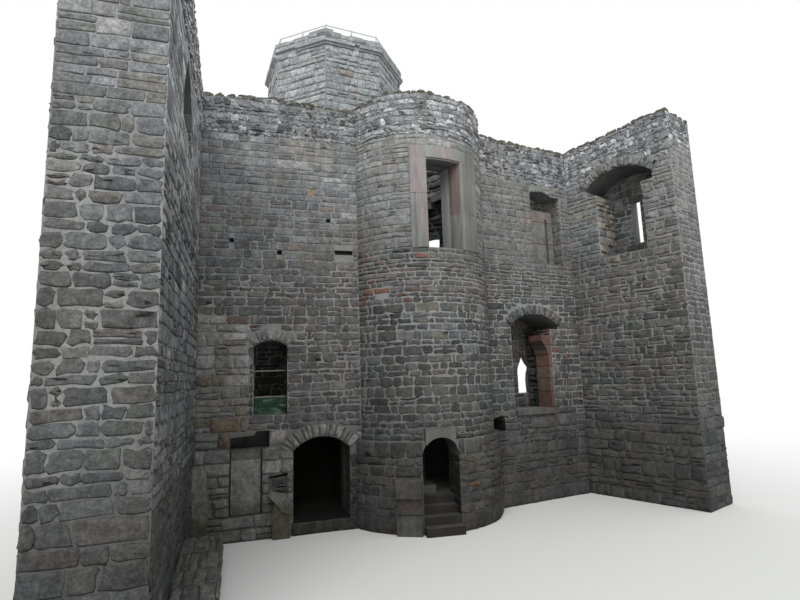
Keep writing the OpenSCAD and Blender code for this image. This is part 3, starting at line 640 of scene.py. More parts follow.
# The shader nodes that the finishes use: Blender's type, the inputs that a call fills in turn, the
# output that it gives and the settings
NODE_KINDS = {
    "coordinates": ("TexCoord", (), "Object", {}),
    "direction": ("TexCoord", (), "Generated", {}),
    "normal": ("NewGeometry", (), "Normal", {}),
    "stone_colour": ("Attribute", (), "Color", {"attribute_name": "stone_colour"}),
    "axes": ("SeparateXYZ", (0,), None, {}),
    "scaled": ("Mapping", (0, "Scale"), 0, {}),
    "noise": ("TexNoise", ("Vector", "Scale", "Detail", "Roughness"), 0, {}),
    "level": ("MapRange", range(5), 0, {"clamp": True, "interpolation_type": "SMOOTHSTEP"}),
    "ramp": ("ValToRGB", (0,), 0, {}),
    "product": ("Math", (0, 1), 0, {"operation": "MULTIPLY"}),
    "sum": ("Math", (0, 1), 0, {"operation": "ADD"}),
    "ratio": ("Math", (0, 1), 0, {"operation": "DIVIDE"}),
    "larger": ("Math", (0, 1), 0, {"operation": "MAXIMUM"}),
    "angle": ("Math", (0, 1), 0, {"operation": "ARCTAN2"}),
    "offset": ("VectorMath", (0, 1), 0, {"operation": "SUBTRACT"}),
    "distance": ("VectorMath", (0, 1), "Value", {"operation": "DISTANCE"}),
    "mix": ("Mix", (0, 6, 7), 2, {"data_type": "RGBA"}),
    "shade": ("Mix", (0, 6, 7), 2, {"data_type": "RGBA", "blend_type": "MULTIPLY"}),
    "bump": ("Bump", ("Strength", "Distance", "Height"), 0, {}),
    "surface": (
        "BsdfPrincipled", ("Base Color", "Roughness", "Metallic", "Normal", "Specular IOR Level"), 0, {}
    ),
    "diffuse": ("BsdfDiffuse", (0,), 0, {}),
    "glow": ("Emission", ("Strength",), 0, {}),
    "either": ("MixShader", (0, 1, 2), 0, {}),
    "rays": ("LightPath", (), None, {}),
    "sky": ("Background", (0, 1), 0, {}),
    "material": ("OutputMaterial", (0,), None, {}),
    "world": ("OutputWorld", (0,), None, {}),
}


def add(tree, kind, *inputs, stops=(), steps=False):
    """Adds one shader node with its settings and the stops of its ramp, links or fills its inputs
    and gives its output. Stops are places with their colours, and steps keeps them apart."""
    made, order, output, settings = NODE_KINDS[kind]
    node = tree.nodes.new("ShaderNode" + made)
    for name, value in settings.items():
        setattr(node, name, value)
    for place, value in zip(order, inputs):
        if isinstance(value, bpy.types.NodeSocket):
            tree.links.new(value, node.inputs[place])
        else:
            node.inputs[place].default_value = value
    if stops:
        marks = node.color_ramp.elements
        node.color_ramp.interpolation = "CONSTANT" if steps else "LINEAR"
        while len(marks) < len(stops):
            marks.new(0.5)
        for mark, (place, colour) in zip(marks, stops):
            mark.position, mark.color = place, colour
    return node.outputs if output is None else node.outputs[output]


def tone(code):
    """Colour of a hex code for a shader's input."""
    return (*linear(code), 1.0)


def by_height(bands):
    """Stops of a colour ramp over the ward walls' height, from heights in metres and colours."""
    return [(z / WARD_H, tone(code)) for z, code in bands]


# Share of their brightness that the walls keep at a height, from the foot to the top: painted shade of the
# deep ward together with damp
SHADE_AND_DAMP_STEPS = [(0.0, 0.20), (1.4, 0.245), (3.0, 0.34), (4.6, 0.40), (6.6, 0.52), (8.6, 0.78), (10.6, 1.0)]
BROAD_TINTS = [(0.35, (0.98, 1.0, 1.01, 1.0)), (0.65, (1.02, 1.0, 0.96, 1.0))]
# Heights of the slab's joint and of the turret window's lintel, and half the width of a joint
SLAB_JOINT, LINTEL_Z, JOINT_HALF = 1.91, 9.88, 0.012
# Heights in metres with the colours there, of the mortar and of the blocks of the jambs
MORTAR_BANDS = [
    (0.0, "#838382"), (2.2, "#9d9d9c"), (3.2, "#c1c1c0"), (6.4, "#c1c1c0"), (7.4, "#a1a2a3"),
    (9.0, "#a1a2a3"), (9.6, "#959698"), (10.2, "#959698"), (10.9, "#808184"),
]
RED_JAMB = [
    (2.7, "#8f726a"), (3.3, "#958378"), (3.72, "#9a897d"), (4.1, "#a17b70"), (4.48, "#968479"),
    (4.8, "#93706a"),
]
FRAME_BLOCKS = [(7.4, "#8b8b88"), (8.3, "#878784"), (9.08, "#8d837e")]
TURRET_JAMB = [(0.0, "#93938d"), (0.46, "#998c84"), (0.88, "#7f7e7c")]


class Finish:
    """A material under way: its nodes, the places and the slope that they read and the colour that
    is laid on so far. The sizes of its patterns are in millimetres."""

    def __init__(self, name):
        self.material = bpy.data.materials.new(name)
        self.material.use_nodes = True
        self.tree = self.material.node_tree
        self.tree.nodes.clear()
        self.add = partial(add, self.tree)
        self.coords = self.add("coordinates")
        self.y, self.z = self.add("axes", self.coords)[1:]
        self.up = self.add("axes", self.add("normal"))[2]
        self.colour = None

    def lumps(self, size, detail=3.0, low=None, high=None, to_low=0.0, to_high=1.0, stretch=(1.0, 1.0, 1.0)):
        """Noise whose lumps are about size across, from 0 to 1. Where low and high are given, it is
        taken from between them to another range and held at its ends."""
        scaled = self.add("scaled", self.coords, [s / (size / 1000) for s in stretch])
        noise = self.add("noise", scaled, 1.0, detail, 0.6)
        return noise if low is None else self.add("level", noise, low, high, to_low, to_high)

    def between(self, value, low, high, soft):
        """1 where a value lies between low and high, with soft edges."""
        rise = self.add("level", value, low - soft, low + soft)
        return self.add("product", rise, self.add("level", value, high - soft, high + soft, 1.0, 0.0))

    def height(self, size=None, wander=0.0):
        """Height over the ground as a share of the ward walls' height, which may wander a little."""
        share = self.add("ratio", self.z, WARD_H)
        return self.add("sum", share, self.lumps(size, 2.0, 0.3, 0.7, -wander, wander)) if size else share

    def moss(self, share, start, bare=0.38):
        """How much moss sits at a place: on what faces up, in patches a hand wide."""
        sits = self.add("level", self.up, start, start + 0.4)
        return self.add("product", self.add("product", sits, self.lumps(220, 4.0, bare, bare + 0.2)), share)

    def base(self, share, first, second):
        """Starts from two colours, mixed by a share."""
        self.colour = self.add("mix", share, tone(first), tone(second))

    def cover(self, share, code):
        """Lays another colour over a share of what is there."""
        self.colour = self.add("mix", share, self.colour, tone(code))

    def shade(self, value):
        """Multiplies the colour by a value or by another colour."""
        self.colour = self.add("shade", 1.0, self.colour, value)

    def grain(self, size, dark=0.84, light=1.14):
        """Shades the colour by a fine grain, and gives the grain for the bump."""
        fine = self.lumps(size, 4.0)
        self.shade(self.add("level", fine, 0.3, 0.7, dark, light))
        return fine

    def weather_and_shade(self, settings):
        """Painted shade and damp that darken the walls towards the ground, painted shade under ledges, and
        rain streaks.
        """
        # The ramp by height is painted shade of the deep ward, mixed with damp
        shade_and_damp = [(z / WARD_H, (*[keep**settings.shade_and_damp] * 3, 1.0)) for z, keep in SHADE_AND_DAMP_STEPS]
        self.shade(self.add("ramp", self.height(1600, 0.035), stops=shade_and_damp))
        self.shade(self.add("ramp", self.lumps(1900, 2.0), stops=BROAD_TINTS))
        self.shade(self.lumps(350, 3.0, 0.42, 0.66, 1.05, 0.84, (1.0, 1.0, 0.16)))
        # Faces that look down are darker: painted shade under ledges
        self.shade(self.add("level", self.up, -0.75, -0.1, 0.4, 1.0))

    def surface(self, settings, roughness, height, depth, metal=0.0):
        """Matt surface with a bump of a depth in metres, under the dirt, damp and painted shade of its
        height where the settings are given. Gives the material."""
        if settings:
            self.weather_and_shade(settings)
        bump = self.add("bump", 1.0, depth, height)
        self.add("material", self.add("surface", self.colour, roughness, metal, bump, 0.25))
        return self.material


def sandstone(settings, name, grain, moss, start=0.45, bare=0.38):
    """Quarried sandstone, split by hand: matt, grainy and uneven in tone. The block's own colour
    comes with its mesh, and grain, lichen, moss, dirt and painted shade are laid over it."""
    made = Finish(name)
    made.colour = made.add("stone_colour")
    made.shade(made.lumps(130, 5.0, 0.3, 0.7, 0.7, 1.28))
    fine = made.grain(grain, 0.72, 1.26)
    made.cover(made.lumps(50, 2.0, 0.6, 0.68, 0.0, 0.3), "#b4b6b2")
    green = made.add("mix", made.lumps(60), tone("#3b3e31"), tone("#5d5d4b"))
    made.colour = made.add("mix", made.moss(moss, start, bare), made.colour, green)
    # Without the walls' weathering, the keep's faces that look down are darkened here: painted shade under
    # its bosses
    if not settings:
        made.shade(made.add("level", made.up, -0.6, 0.0, 0.62, 1.0))
    return made.surface(settings, 0.92, made.add("product", fine, made.lumps(90)), 0.02)


def mortar(settings):
    """Lime mortar between rubble: pale where it was pointed again, dark where it has washed out
    of the old joints higher up and where it is trodden."""
    made = Finish("lime_mortar")
    share = made.height(1400, 0.04)
    made.colour = made.add("ramp", share, stops=by_height(MORTAR_BANDS))
    fine = made.grain(30, 0.8, 1.15)
    low = made.add("level", share, 0.1, 0.2, 1.0, 0.0)
    made.cover(made.add("product", made.add("level", made.up, 0.6, 0.9), low), "#211f1d")
    return made.surface(settings, 0.95, fine, 0.015)


def plain_stone(name, codes, patch, grain, settings=None, moss=0.0, streak=0.0, tread_light=1.0):
    """Dressed stone, rubbed smooth and worn: two tones in broad patches over a fine grain, with rain
    streaks, moss and paler treads where they are given; the paler treads are wear and painted light."""
    made = Finish(name)
    made.base(made.lumps(patch, 3.0, 0.35, 0.65), *codes)
    fine = made.grain(grain, 0.78, 1.2)
    made.shade(made.lumps(120, 4.0, 0.35, 0.65, 1 - streak, 1 + streak, (1.0, 1.0, 0.1)))
    # Faces that look up are lightened by the tread factor: painted light on the treads, with wear
    made.shade(made.add("level", made.up, 0.4, 0.9, 1.0, tread_light))
    if moss:
        made.cover(made.moss(moss, 0.4), "#6a6e4a")
    return made.surface(settings, 0.88, fine, 0.012)


def mossy_slab(settings):
    """Rough slab, green at its foot, with a joint across it, and darker above the joint as painted shade
    under the niche's top.
    """
    made = Finish("mossy_slab")
    made.base(made.lumps(300, 4.0, 0.35, 0.65), "#c4c4bf", "#dadad5")
    foot = made.add("sum", made.z, made.lumps(250, 3.0, 0.3, 0.7, -0.16, 0.16))
    made.cover(made.add("level", foot, 0.6, 0.95, 0.8, 0.0), "#8a8b6c")
    # Above the joint the slab is darker: painted shade under the niche's top
    made.cover(made.add("level", made.z, SLAB_JOINT, SLAB_JOINT + 0.03), "#a3a39e")
    seam = made.add("sum", made.z, made.lumps(200, 3.0, 0.3, 0.7, -0.01, 0.01))
    made.cover(made.between(seam, SLAB_JOINT - JOINT_HALF, SLAB_JOINT + JOINT_HALF, 0.008), "#dededa")
    made.shade(made.lumps(110, 4.0, 0.35, 0.65, 0.74, 1.16))
    pits = made.lumps(30, 4.0, 0.3, 0.7, 0.8, 1.2)
    made.shade(pits)
    return made.surface(settings, 0.92, pits, 0.02)


def frame_stone(settings):
    """Dressed stone of the turret's window: pink in its upper left, its lintel and the edges of its
    reveals, greenish grey elsewhere, and darker deeper in the opening as painted shade."""
    made = Finish("window_dressing")
    add, between = made.add, made.between
    x, y, z = add("axes", add("offset", made.coords, CORNER + np.array([*TURRET, 0.0])))
    turn = add("product", add("angle", x, add("product", y, -1.0)), 180 / math.pi)
    reach = add("sum", add("product", x, x), add("product", y, y))
    upper_left = add("product", between(turn, -30, 0, 0.5), between(z, 8.88, LINTEL_Z, 0.01))
    lower_band = add("product", between(turn, -11, 0, 0.6), add("level", z, 8.87, 8.89, 1.0, 0.0))
    spots = add("larger", between(turn, -30, -12, 1.5), between(turn, 1, 13, 2.0))
    lintel = add("product", add("level", z, LINTEL_Z - 0.01, LINTEL_Z + 0.01), spots)
    inner = add("product", between(turn, 10, 23, 0.4), add("level", reach, 4.55, 4.8, 1.0, 0.0))
    made.base(made.lumps(500), "#9c9c98", "#92928f")
    pink = add("larger", add("larger", upper_left, lower_band), lintel)
    made.cover(add("product", pink, 0.8), "#9c918f")
    made.cover(add("product", inner, between(z, 8.43, LINTEL_Z - 0.01, 0.01)), "#8f7f7b")
    made.shade(made.lumps(90, 4.0, 0.3, 0.7, 0.86, 1.1, (1.0, 1.0, 0.12)))
    made.shade(add("level", turn, 21, 26, 1.0, 0.76))
    made.shade(add("level", z, LINTEL_Z - 0.02, LINTEL_Z + 0.02, 1.0, 0.9))
    # Deeper in the opening the stone is darker: painted shade
    made.shade(add("level", reach, 3.2, 3.9, 0.6, 1.0))
    fine = made.grain(30, 0.9, 1.08)
    return made.surface(settings, 0.85, fine, 0.005)


def jamb_blocks(name, settings, feet):
    """Sandstone jamb whose blocks differ in tone, with dark joints between them; each block is
    given by the height of its foot."""
    made = Finish(name)
    share = made.height()
    made.colour = made.add("ramp", share, stops=by_height(feet), steps=True)
    for z, _ in feet[1:]:
        joint = made.between(share, (z - JOINT_HALF) / WARD_H, (z + JOINT_HALF) / WARD_H, 0.0004)
        made.cover(joint, "#4c4038")
    made.shade(made.lumps(140, 4.0, 0.35, 0.65, 0.78, 1.16))
    fine = made.grain(30)
    return made.surface(settings, 0.9, fine, 0.01)


def cellar_stone():
    """Near-black vault, painted shade for the dark cellar, whose top is the beaten floor behind the walls."""
    made = Finish("vault_painted_shade")
    # The near-black tones are painted shade inside the cellar
    made.base(made.lumps(400), "#161514", "#24221e")
    top = made.add("product", made.add("level", made.up, 0.5, 0.9), made.add("level", made.z, 2.6, 2.7))
    outside = made.add("level", made.y, CORNER[1] + 3.5, CORNER[1] + 3.6)
    made.cover(made.add("larger", top, outside), "#75716a")
    fine = made.grain(50, 0.7, 1.2)
    return made.surface(None, 0.95, fine, 0.02)


def green_wire():
    """Painted wire: a dull green coat, scuffed."""
    made = Finish("painted_wire")
    scuff = made.lumps(140, 4.0, 0.48, 0.66, stretch=(0.5, 1.0, 1.6))
    made.base(scuff, "#375a43", "#82ab91")
    return made.surface(None, 0.5, scuff, 0.0005)


def weathered_iron(name, code):
    """Galvanised rail, gone dull, with rust in patches."""
    made = Finish(name)
    rust = made.lumps(70, 3.0, 0.5, 0.7)
    made.base(rust, code, "#8a7a6c")
    return made.surface(None, 0.6, rust, 0.0005, 0.3)


# The sandstones of the laid blocks: name, grain in millimetres and share of moss; on cappings also the
# slope that the moss starts at and how much is left bare between its patches
STONES = {
    "ward": ("split_sandstone", 40, 0.35),
    "keep": ("bossed_sandstone", 50, 0.3),
    "capping": ("mossy_capping", 30, 1.0, -0.35, 0.26),
}
MADE = {}


def stone_material(kind):
    """The sandstone of one kind of work, made once. The keep stands clear of the ward's damp and painted
    shade by height.
    """
    if kind not in MADE:
        MADE[kind] = sandstone(None if kind == "keep" else bpy.context.scene.ward, *STONES[kind])
    return MADE[kind]


class WardSettings(PropertyGroup):
    """What a user would change about the stonework."""

    seed: IntProperty(name="Seed", description="Start of the random draws of the stones", default=7)
    # Strength of the darkening towards the ground, which is painted shade of the deep ward with damp
    shade_and_damp: FloatProperty(
        name="Damp", description="How much the damp darkens the walls towards the ground",
        default=1.0, min=0.0, max=2.0,
    )
    sky_light: FloatProperty(
        name="Sky light", description="Brightness of the sky overhead", default=1.15, min=0.0, max=4.0
    )
    sun_light: FloatProperty(
        name="Soft lamp", description="Strength of the broad lamp", default=2.0, min=0.0, max=8.0
    )
    floor_colour: FloatVectorProperty(
        name="Floor", description="Colour of the studio floor", subtype="COLOR", default=linear("#cdcdcb")
    )


class WARD_OT_left_bay(Operator):
    """Stones of the left bay, its hollows and the sides of its doorway and window"""

    bl_idname = "ward.left_bay"
    bl_label = "Left Bay"

    def execute(self, context):
        work = Stonework(context, 0)
        face = wall_face(0, 0, 0)
        edge = TURRET[0] - half_chord(TURRET_R, TURRET[1])
        base_edge = TURRET[0] - half_chord(BASE_R, TURRET[1])
        arches = [arch_outline(arch, sill_foot(arch)) for arch in (LEFT_DOOR, LEFT_WINDOW)]
        lay = partial(
            work.lay, face,
            holes=[*arches, WINDOW_BREAK, NICHE, POCKET, FALLEN, *PUTLOGS],
            areas=[
                (0.0, 1.3, 2.2, 5.6, 0.16, WARM), (0.0, 0.9, 6.0, 9.0, 0.14, PINKS + OCHRES),
                (LEFT_DOOR.right, base_edge, 0.0, 2.0, 1.0, SHADED),
                (LEFT_DOOR.left - 0.2, base_edge, 0.0, LEFT_DOOR.sill, 1.0, SHADED),
            ],
            marks=[
                (2.83, 9.17, "#a18c78"), (2.77, 8.58, "#827d7a"), (0.22, 10.0, "#827d7a"),
                (0.56, 8.43, "#857d79"), (3.48, 8.68, "#8f837b"), (2.55, 7.57, "#8c8580"),
                (2.63, 7.29, "#8a8a80"), (1.08, 5.38, "#8f8079"), (0.46, 4.74, "#8b8480"),
                (2.49, 3.98, "#8d837c"), (0.71, 2.88, "#aa9c8b"), (0.26, 2.84, "#a79d8e"),
                (1.14, 2.66, "#a3958c"), (0.69, 2.54, "#9c8c80"), (0.24, 3.97, "#988b80"),
            ],
        )
        fitted = COURSED._replace(length=0.35, gap=0.021, proud=0.006, corner=0.028)
        lay(0.0, base_edge, [0, 0.3, 0.62, 1.06, 1.56, 2.25], FOOTING, LIT)
        lay(0.0, edge, [2.25, 2.64], FOOTING, LIT)
        lay(0.0, 1.3, [2.64, 3.02, 4.8, 5.6], BLOCKS, LIT)
        lay(1.3, edge, [2.64, 3.02, 4.8, 5.6], POINTED, GREY)
        lay(0.0, edge, [5.6, 7.15], POINTED._replace(gap=0.024), GREY)
        lay(0.0, edge, [7.15, 9.0], fitted, GREY)
        lay(0.0, edge, [9.0, 10.62], COURSED._replace(proud=0.006), GREY)
        lay(0.0, edge, [10.62, 11.8], RUBBLE, WORN, top=under_line(LEFT_TOP))
        hollow = Flat(face.place(0, 0, -0.09), face.along)
        for levels in ([1.08, 1.18], [1.25, 1.43]):
            work.lay(hollow, 1.87, 2.24, levels, THIN, MIXED)
        # The sides of the doorway and window take the dark tones: painted shade in the openings
        for arch, broken in ((LEFT_DOOR, LEFT_DOOR.spring), (LEFT_WINDOW, BREAK_Z)):
            left, right = reveals(face, arch.left, arch.right, WALL_T)
            work.lay(left, 0.0, WALL_T, [arch.sill, broken], POINTED, SHADE_DARK, fine=False)
            work.lay(left, BREAK_DEEP, WALL_T, [broken, arch.spring], POINTED, SHADE_DARK, fine=False)
            work.lay(right, 0.0, WALL_T, [arch.sill, arch.spring], POINTED, SHADE_DARK, fine=False)
        back_x = TURRET[0] - half_chord(TURRET_R, WALL_T - TURRET[1])
        window = box(LEFT_WINDOW.right, LEFT_WINDOW.left, LEFT_WINDOW.sill, LEFT_WINDOW.spring + 0.1)
        work.lay(
            wall_face(back_x, WALL_T, 180), 0.0, back_x + WALL_T, [FLOOR_Z, 3.02, 11.76], REAR, GREY,
            [mirrored(window, back_x)], under_line(mirrored(np.vstack([LEFT_END, LEFT_TOP]), back_x)),
            fine=False,
        )
        work.build("left_bay_stones")
        return {"FINISHED"}


class WARD_OT_left_wall(Operator):
    """Stones of the left return wall, inside, outside and at its end"""

    bl_idname = "ward.left_wall"
    bl_label = "Left Return Wall"

    def execute(self, context):
        work = Stonework(context, 1)
        inside = wall_face(0, -LEFT_LENGTH, 90)
        lay = partial(
            work.lay, inside, 0.0, LEFT_LENGTH,
            holes=[mirrored(points, LEFT_LENGTH) for points in (LANCET, *SOCKETS)],
            top=under_line(mirrored(LEFT_WALL_TOP, LEFT_LENGTH)),
        )
        areas = [(4.4, 6.2, 5.0, 9.0, 0.3, OCHRES + PINKS)]
        flat = POINTED._replace(proud=0.007, crown=0.003, skew=0.012, rough=0.002)
        lay([0, 2.2], FOOTING, GREY)
        lay([2.2, 7.6], POINTED._replace(proud=0.02), ROUGH, areas=areas)
        lay([7.6, 8.9, 10.6], flat, ROUGH, areas=areas)
        lay([10.6, 12.12], RUBBLE._replace(proud=0.02), CREST)
        work.lay(
            wall_face(-WALL_T, WALL_T, -90), 0.0, LEFT_LENGTH + WALL_T, [0, 8.9, 12.12], REAR, GREY,
            [LANCET_LIGHT + (WALL_T, 0)], under_line(LEFT_WALL_TOP + (WALL_T, 0)), fine=False,
        )
        lay = partial(work.lay, wall_face(-WALL_T, -LEFT_LENGTH, 0), 0.0, WALL_T)
        lay([0, 2.2], FOOTING, GREY)
        lay([2.2, 8.0], POINTED, GREY)
        lay([8.0, 10.8], COURSED, GREY)
        lay([10.8, 11.95], RUBBLE, ROUGH)
        # The lancet's sides take the dark tones: painted shade
        for side in reveals(inside, *ends(mirrored(LANCET, LEFT_LENGTH)), LANCET_DEEP):
            work.lay(side, 0.0, LANCET_DEEP, [8.9, 9.4], THIN, SHADE_DARK, fine=False)
        near, far = reveals(inside, *ends(mirrored(LANCET_LIGHT, LEFT_LENGTH)), WALL_T)
        work.lay(near, LANCET_DEEP, WALL_T, [8.9, 9.85], THIN, SHADE_DARK, fine=False)
        work.lay(far, 0.0, WALL_T - LANCET_DEEP, [8.9, 9.85], THIN, SHADE_DARK, fine=False)
        stub = wall_face(FOOTING_W, FOOTING_Y, 90)
        work.lay(stub, *ends(FOOTING_TOP), [0, 0.7], BLOCKS, LIT, top=under_line(FOOTING_TOP))
        work.cap(stub, FOOTING_TOP, FOOTING_W, BLOCKS, LIT)
        work.build("left_wall_stones")
        return {"FINISHED"}


def arcs(radius, *turns):
    """Turns round the turret in degrees, as arcs at a radius."""
    return [math.radians(turn) * radius for turn in turns]


def turret_box(turn, half, low, high, radius=TURRET_R):
    """Outline of an upright opening with its middle at a turn round the turret."""
    return box(-half, half, low, high) + (*arcs(radius, turn), 0)


def turret_top(turn):
    """Height of the turret's worn top at a turn round it in radians."""
    height = np.full_like(turn, TURRET_H)
    for middle, drop in TURRET_DIPS:
        away = (np.degrees(turn) - middle + 180) % 360 - 180
        height = np.where(np.abs(away) < 13, TURRET_H - drop, height)
    return height


def under_brim(radius):
    """Keeps points of the turret just under its worn top; the well's radius is given below zero."""
    return lambda u, v: (u, np.minimum(v, turret_top(u / radius) - 0.005))


class WARD_OT_turret(Operator):
    """Stones of the stair turret, outside and inside"""

    bl_idname = "ward.turret"
    bl_label = "Stair Turret"

    def execute(self, context):
        work = Stonework(context, 2)
        shaft, base, well = Round(TURRET, TURRET_R), Round(TURRET, BASE_R), Round(TURRET, WELL_R, True)
        lay = partial(
            work.lay, shaft, *arcs(TURRET_R, -63.7, 71.9),
            holes=[box(*arcs(TURRET_R, -19, 40), TURRET_SILL, LINTEL_TOP), self.doorway(TURRET_R)],
            areas=[
                (-2.3, -0.55, 6.05, 7.5, 0.26, REDS), (-2.2, -1.1, 7.4, 8.1, 0.14, PINKS),
                (-0.6, 1.6, 2.5, 6.3, 0.12, OCHRES), (-1.0, 2.6, 6.0, 7.4, 0.08, PINKS),
            ],
            marks=[
                (-2.07, 6.24, "#99766a"), (-1.46, 6.2, "#9c7668"), (-1.79, 6.54, "#95786f"),
                (-1.33, 6.74, "#9d8072"), (-0.44, 7.2, "#a27a75"), (-2.19, 6.12, "#957568"),
                (-0.97, 6.0, "#8e7268"), (-1.2, 6.62, "#aaa9a6"),
            ],
        )
        head = RUBBLE._replace(course=0.155, length=0.26, lost=0.02)
        lay([BASE_H, 2.57, 6.0], POINTED, POINTED_GREY)
        lay([6.0, TURRET_SILL], THIN, MIXED)
        lay([TURRET_SILL, LINTEL_TOP, 10.6], COURSED, PALE)
        lay([10.6, 11.86], head, ROUGH, top=under_brim(TURRET_R))
        work.lay(
            base, *arcs(BASE_R, -65.2, 73.0), [0.0, 0.42, 0.9, 1.36, DOOR_HEAD, BASE_H], FOOTING, DULL,
            [self.doorway(BASE_R), turret_box(JAMB_TURN, 0.33, -0.1, 1.36, BASE_R)],
            marks=[
                (0.78, 1.07, "#a5846b"), (0.59, 1.9, "#8e8375"), (0.74, 0.45, "#98998a"),
                (0.95, 1.62, "#8d8a7c"),
            ],
        )
        front = base.at(math.radians(DOOR_TURN), BASE_R, 0.0) - CORNER
        deep, bulge = BASE_R - WELL_R, 0.06
        left, right = reveals(wall_face(*front[:2], DOOR_TURN), -0.49, 0.49, deep)
        rough = FOOTING._replace(proud=0.006)
        work.lay(left, bulge, deep, [0.0, DOOR_HEAD], rough, UNLIT, fine=False)
        work.lay(right, 0.0, deep - bulge, [0.0, DOOR_HEAD], rough, UNLIT, fine=False)
        landing = turret_box(BACK_DOOR_TURN, LANDING_HALF, LANDING_SILL, LANDING_TOP)
        work.lay(
            shaft, *arcs(TURRET_R, 112.3, 256.2), [FLOOR_Z, LANDING_SILL, TURRET_H], REAR, GREY, [landing],
            under_brim(TURRET_R), fine=False,
        )
        window = box(*arcs(WELL_R, -21, 7), TURRET_SILL, LINTEL_Z)
        landing = turret_box(-BACK_DOOR_TURN, LANDING_HALF, LANDING_SILL, LANDING_TOP, WELL_R)
        # Inside the turret the stones take the dark tones: painted shade
        work.lay(
            well, *arcs(WELL_R, -180, 180), [2.6, TURRET_SILL, LINTEL_Z, 11.8],
            POINTED._replace(proud=0.03, rough=0.008), SHADE_DARK, [window, landing], under_brim(-WELL_R),
            fine=False,
        )
        work.build("turret_stones")
        return {"FINISHED"}

    def doorway(self, radius):
        """Outline of the doorway and its head stone, unrolled at a radius."""
        right = outline((0.5, -0.1), (0.5, DOOR_HEAD), (0.47, 2.05), (0.42, 2.17), (0.42, 2.565))
        return np.concatenate([right, mirrored(right, 0)[::-1]]) + (*arcs(radius, DOOR_TURN), 0)


class WARD_OT_right_bay(Operator):
    """Stones of the right bay, front and back, and the sides of its openings"""

    bl_idname = "ward.right_bay"
    bl_label = "Right Bay"

    def execute(self, context):
        work = Stonework(context, 3)
        face = wall_face(*RIGHT_CORNER, RIGHT_TURN)
        reach, turn = RIGHT_CORNER[0] - TURRET[0], math.radians(RIGHT_TURN)
        middle, depth = -reach * math.cos(turn), reach * math.sin(turn)
        foot = (
            (RIGHT_DOOR.right, INFILL_TOP), (INFILL_X, INFILL_TOP), (INFILL_X, RIGHT_DOOR.sill),
            (RIGHT_DOOR.left, RIGHT_DOOR.sill),
        )
        lay = partial(
            work.lay, face, middle + half_chord(TURRET_R, depth), 0.0,
            holes=[arch_outline(RIGHT_DOOR, foot), RIGHT_WINDOW, HOLE],
            areas=[
                (-1.3, 1.3, 3.0, 5.6, 0.2, PINKS + OCHRES), (-0.4, 0.2, 7.6, 9.6, 0.2, REDS),
                (-3.6, -1.7, 6.6, 9.4, 0.14, OCHRES + PINKS), (-4.2, -3.0, 2.4, 6.4, 0.12, OCHRES),
            ],
            marks=[
                (-0.95, 4.62, "#92706a"), (-0.6, 4.45, "#8f7a73"), (-0.45, 3.45, "#96907f"),
                (-0.09, 7.52, "#8b7f76"),
            ],
        )
        lay([0, 1.2, 2.18, 2.78], FOOTING, MIXED)
        lay([2.78, 5.3, 6.3], POINTED, POINTED_GREY)
        lay([6.3, 7.45], THIN, MIXED)
        lay([7.45, 9.9, 10.2], COURSED, MIXED)
        lay([10.2, 11.56], RUBBLE, WORN, top=under_line(RIGHT_TOP))
        self.window_sides(work, face)
        for side in reveals(face, *ends(HOLE), HOLE_DEEP):
            work.lay(side, 0.0, HOLE_DEEP, [2.18, 2.52], FOOTING._replace(proud=0.004), UNLIT, fine=False)
        self.doorway_sides(work, face)
        work.lay(
            wall_face(*RIGHT_CORNER, RIGHT_TURN, RIGHT_MITRE, WALL_T, 180), 0.0,
            RIGHT_MITRE - (middle + half_chord(TURRET_R, WALL_T - depth)), [0, 3.23, 7.6, 9.3, 11.55], REAR,
            GREY, [mirrored(points, RIGHT_MITRE) for points in (SLIT, REAR_WINDOW)],
            under_line(mirrored(RIGHT_TOP, RIGHT_MITRE)), fine=False,
        )
        work.build("right_bay_stones")
        return {"FINISHED"}

    def window_sides(self, work, face):
        """Reveals of the window's dressed frame and the stones over the light behind it."""
        near, far = reveals(face, *ends(RIGHT_WINDOW), FRAME_DEEP)
        side = COURSED._replace(length=0.25)
        reds = [(0, 1, 8.3, 9.6, 0.4, REDS)]
        # The near side and the head behind the frame take the dark tones: painted shade
        work.lay(near, 0.0, FRAME_DEEP, [7.45, 9.85], side, SHADE_DARK, fine=False)
        work.lay(far, 0.0, FRAME_DEEP, [7.45, 9.85], side, MIXED, areas=reds, fine=False)
        rear = wall_face(*RIGHT_CORNER, RIGHT_TURN, 0, REAR_WINDOW_DEEP)
        work.lay(rear, *ends(RIGHT_WINDOW), [9.48, 9.87], THIN, SHADE_DARK, fine=False)

    def doorway_sides(self, work, face):
        """Sides of the doorway, darkened as painted shade, and the inner wall that closes it."""
        # Red stones darkened to paint the shade on the doorway's sides
        shaded_reds = [(0.0, INNER_WALL_Y, 2.5, 5.6, 1.0, ["#6d5b55", "#635551", "#735950"])]
        door, mid = RIGHT_DOOR, 5.1
        _, infill = reveals(face, door.left, INFILL_X, INNER_WALL_Y)
        near, far = reveals(face, door.left, door.right, INNER_WALL_Y)
        work.lay(infill, 0.0, INNER_WALL_Y, [mid, INFILL_TOP], THIN, SHADE_DARK, areas=shaded_reds, fine=False)
        work.lay(infill, 0.0, INNER_WALL_Y - 0.6, [door.sill, mid], POINTED, SHADE_DARK, fine=False)
        work.lay(far, 0.0, INNER_WALL_Y, [INFILL_TOP, door.spring], THIN, SHADE_DARK, areas=shaded_reds, fine=False)
        work.lay(near, 0.0, INNER_WALL_Y, [door.sill, door.spring], POINTED, SHADE_DARK, fine=False)
        inner = wall_face(*RIGHT_CORNER, RIGHT_TURN, 0, INNER_WALL_Y)
        work.lay(
            inner, door.left, door.right, [door.sill, 3.23, 5.76], BLOCKS._replace(proud=0.012), MIXED,
            [SLIT], under_line(arch_curve(door, -0.01)), [(-3, 0, 2.7, 6, 0.3, OCHRES)],
        )


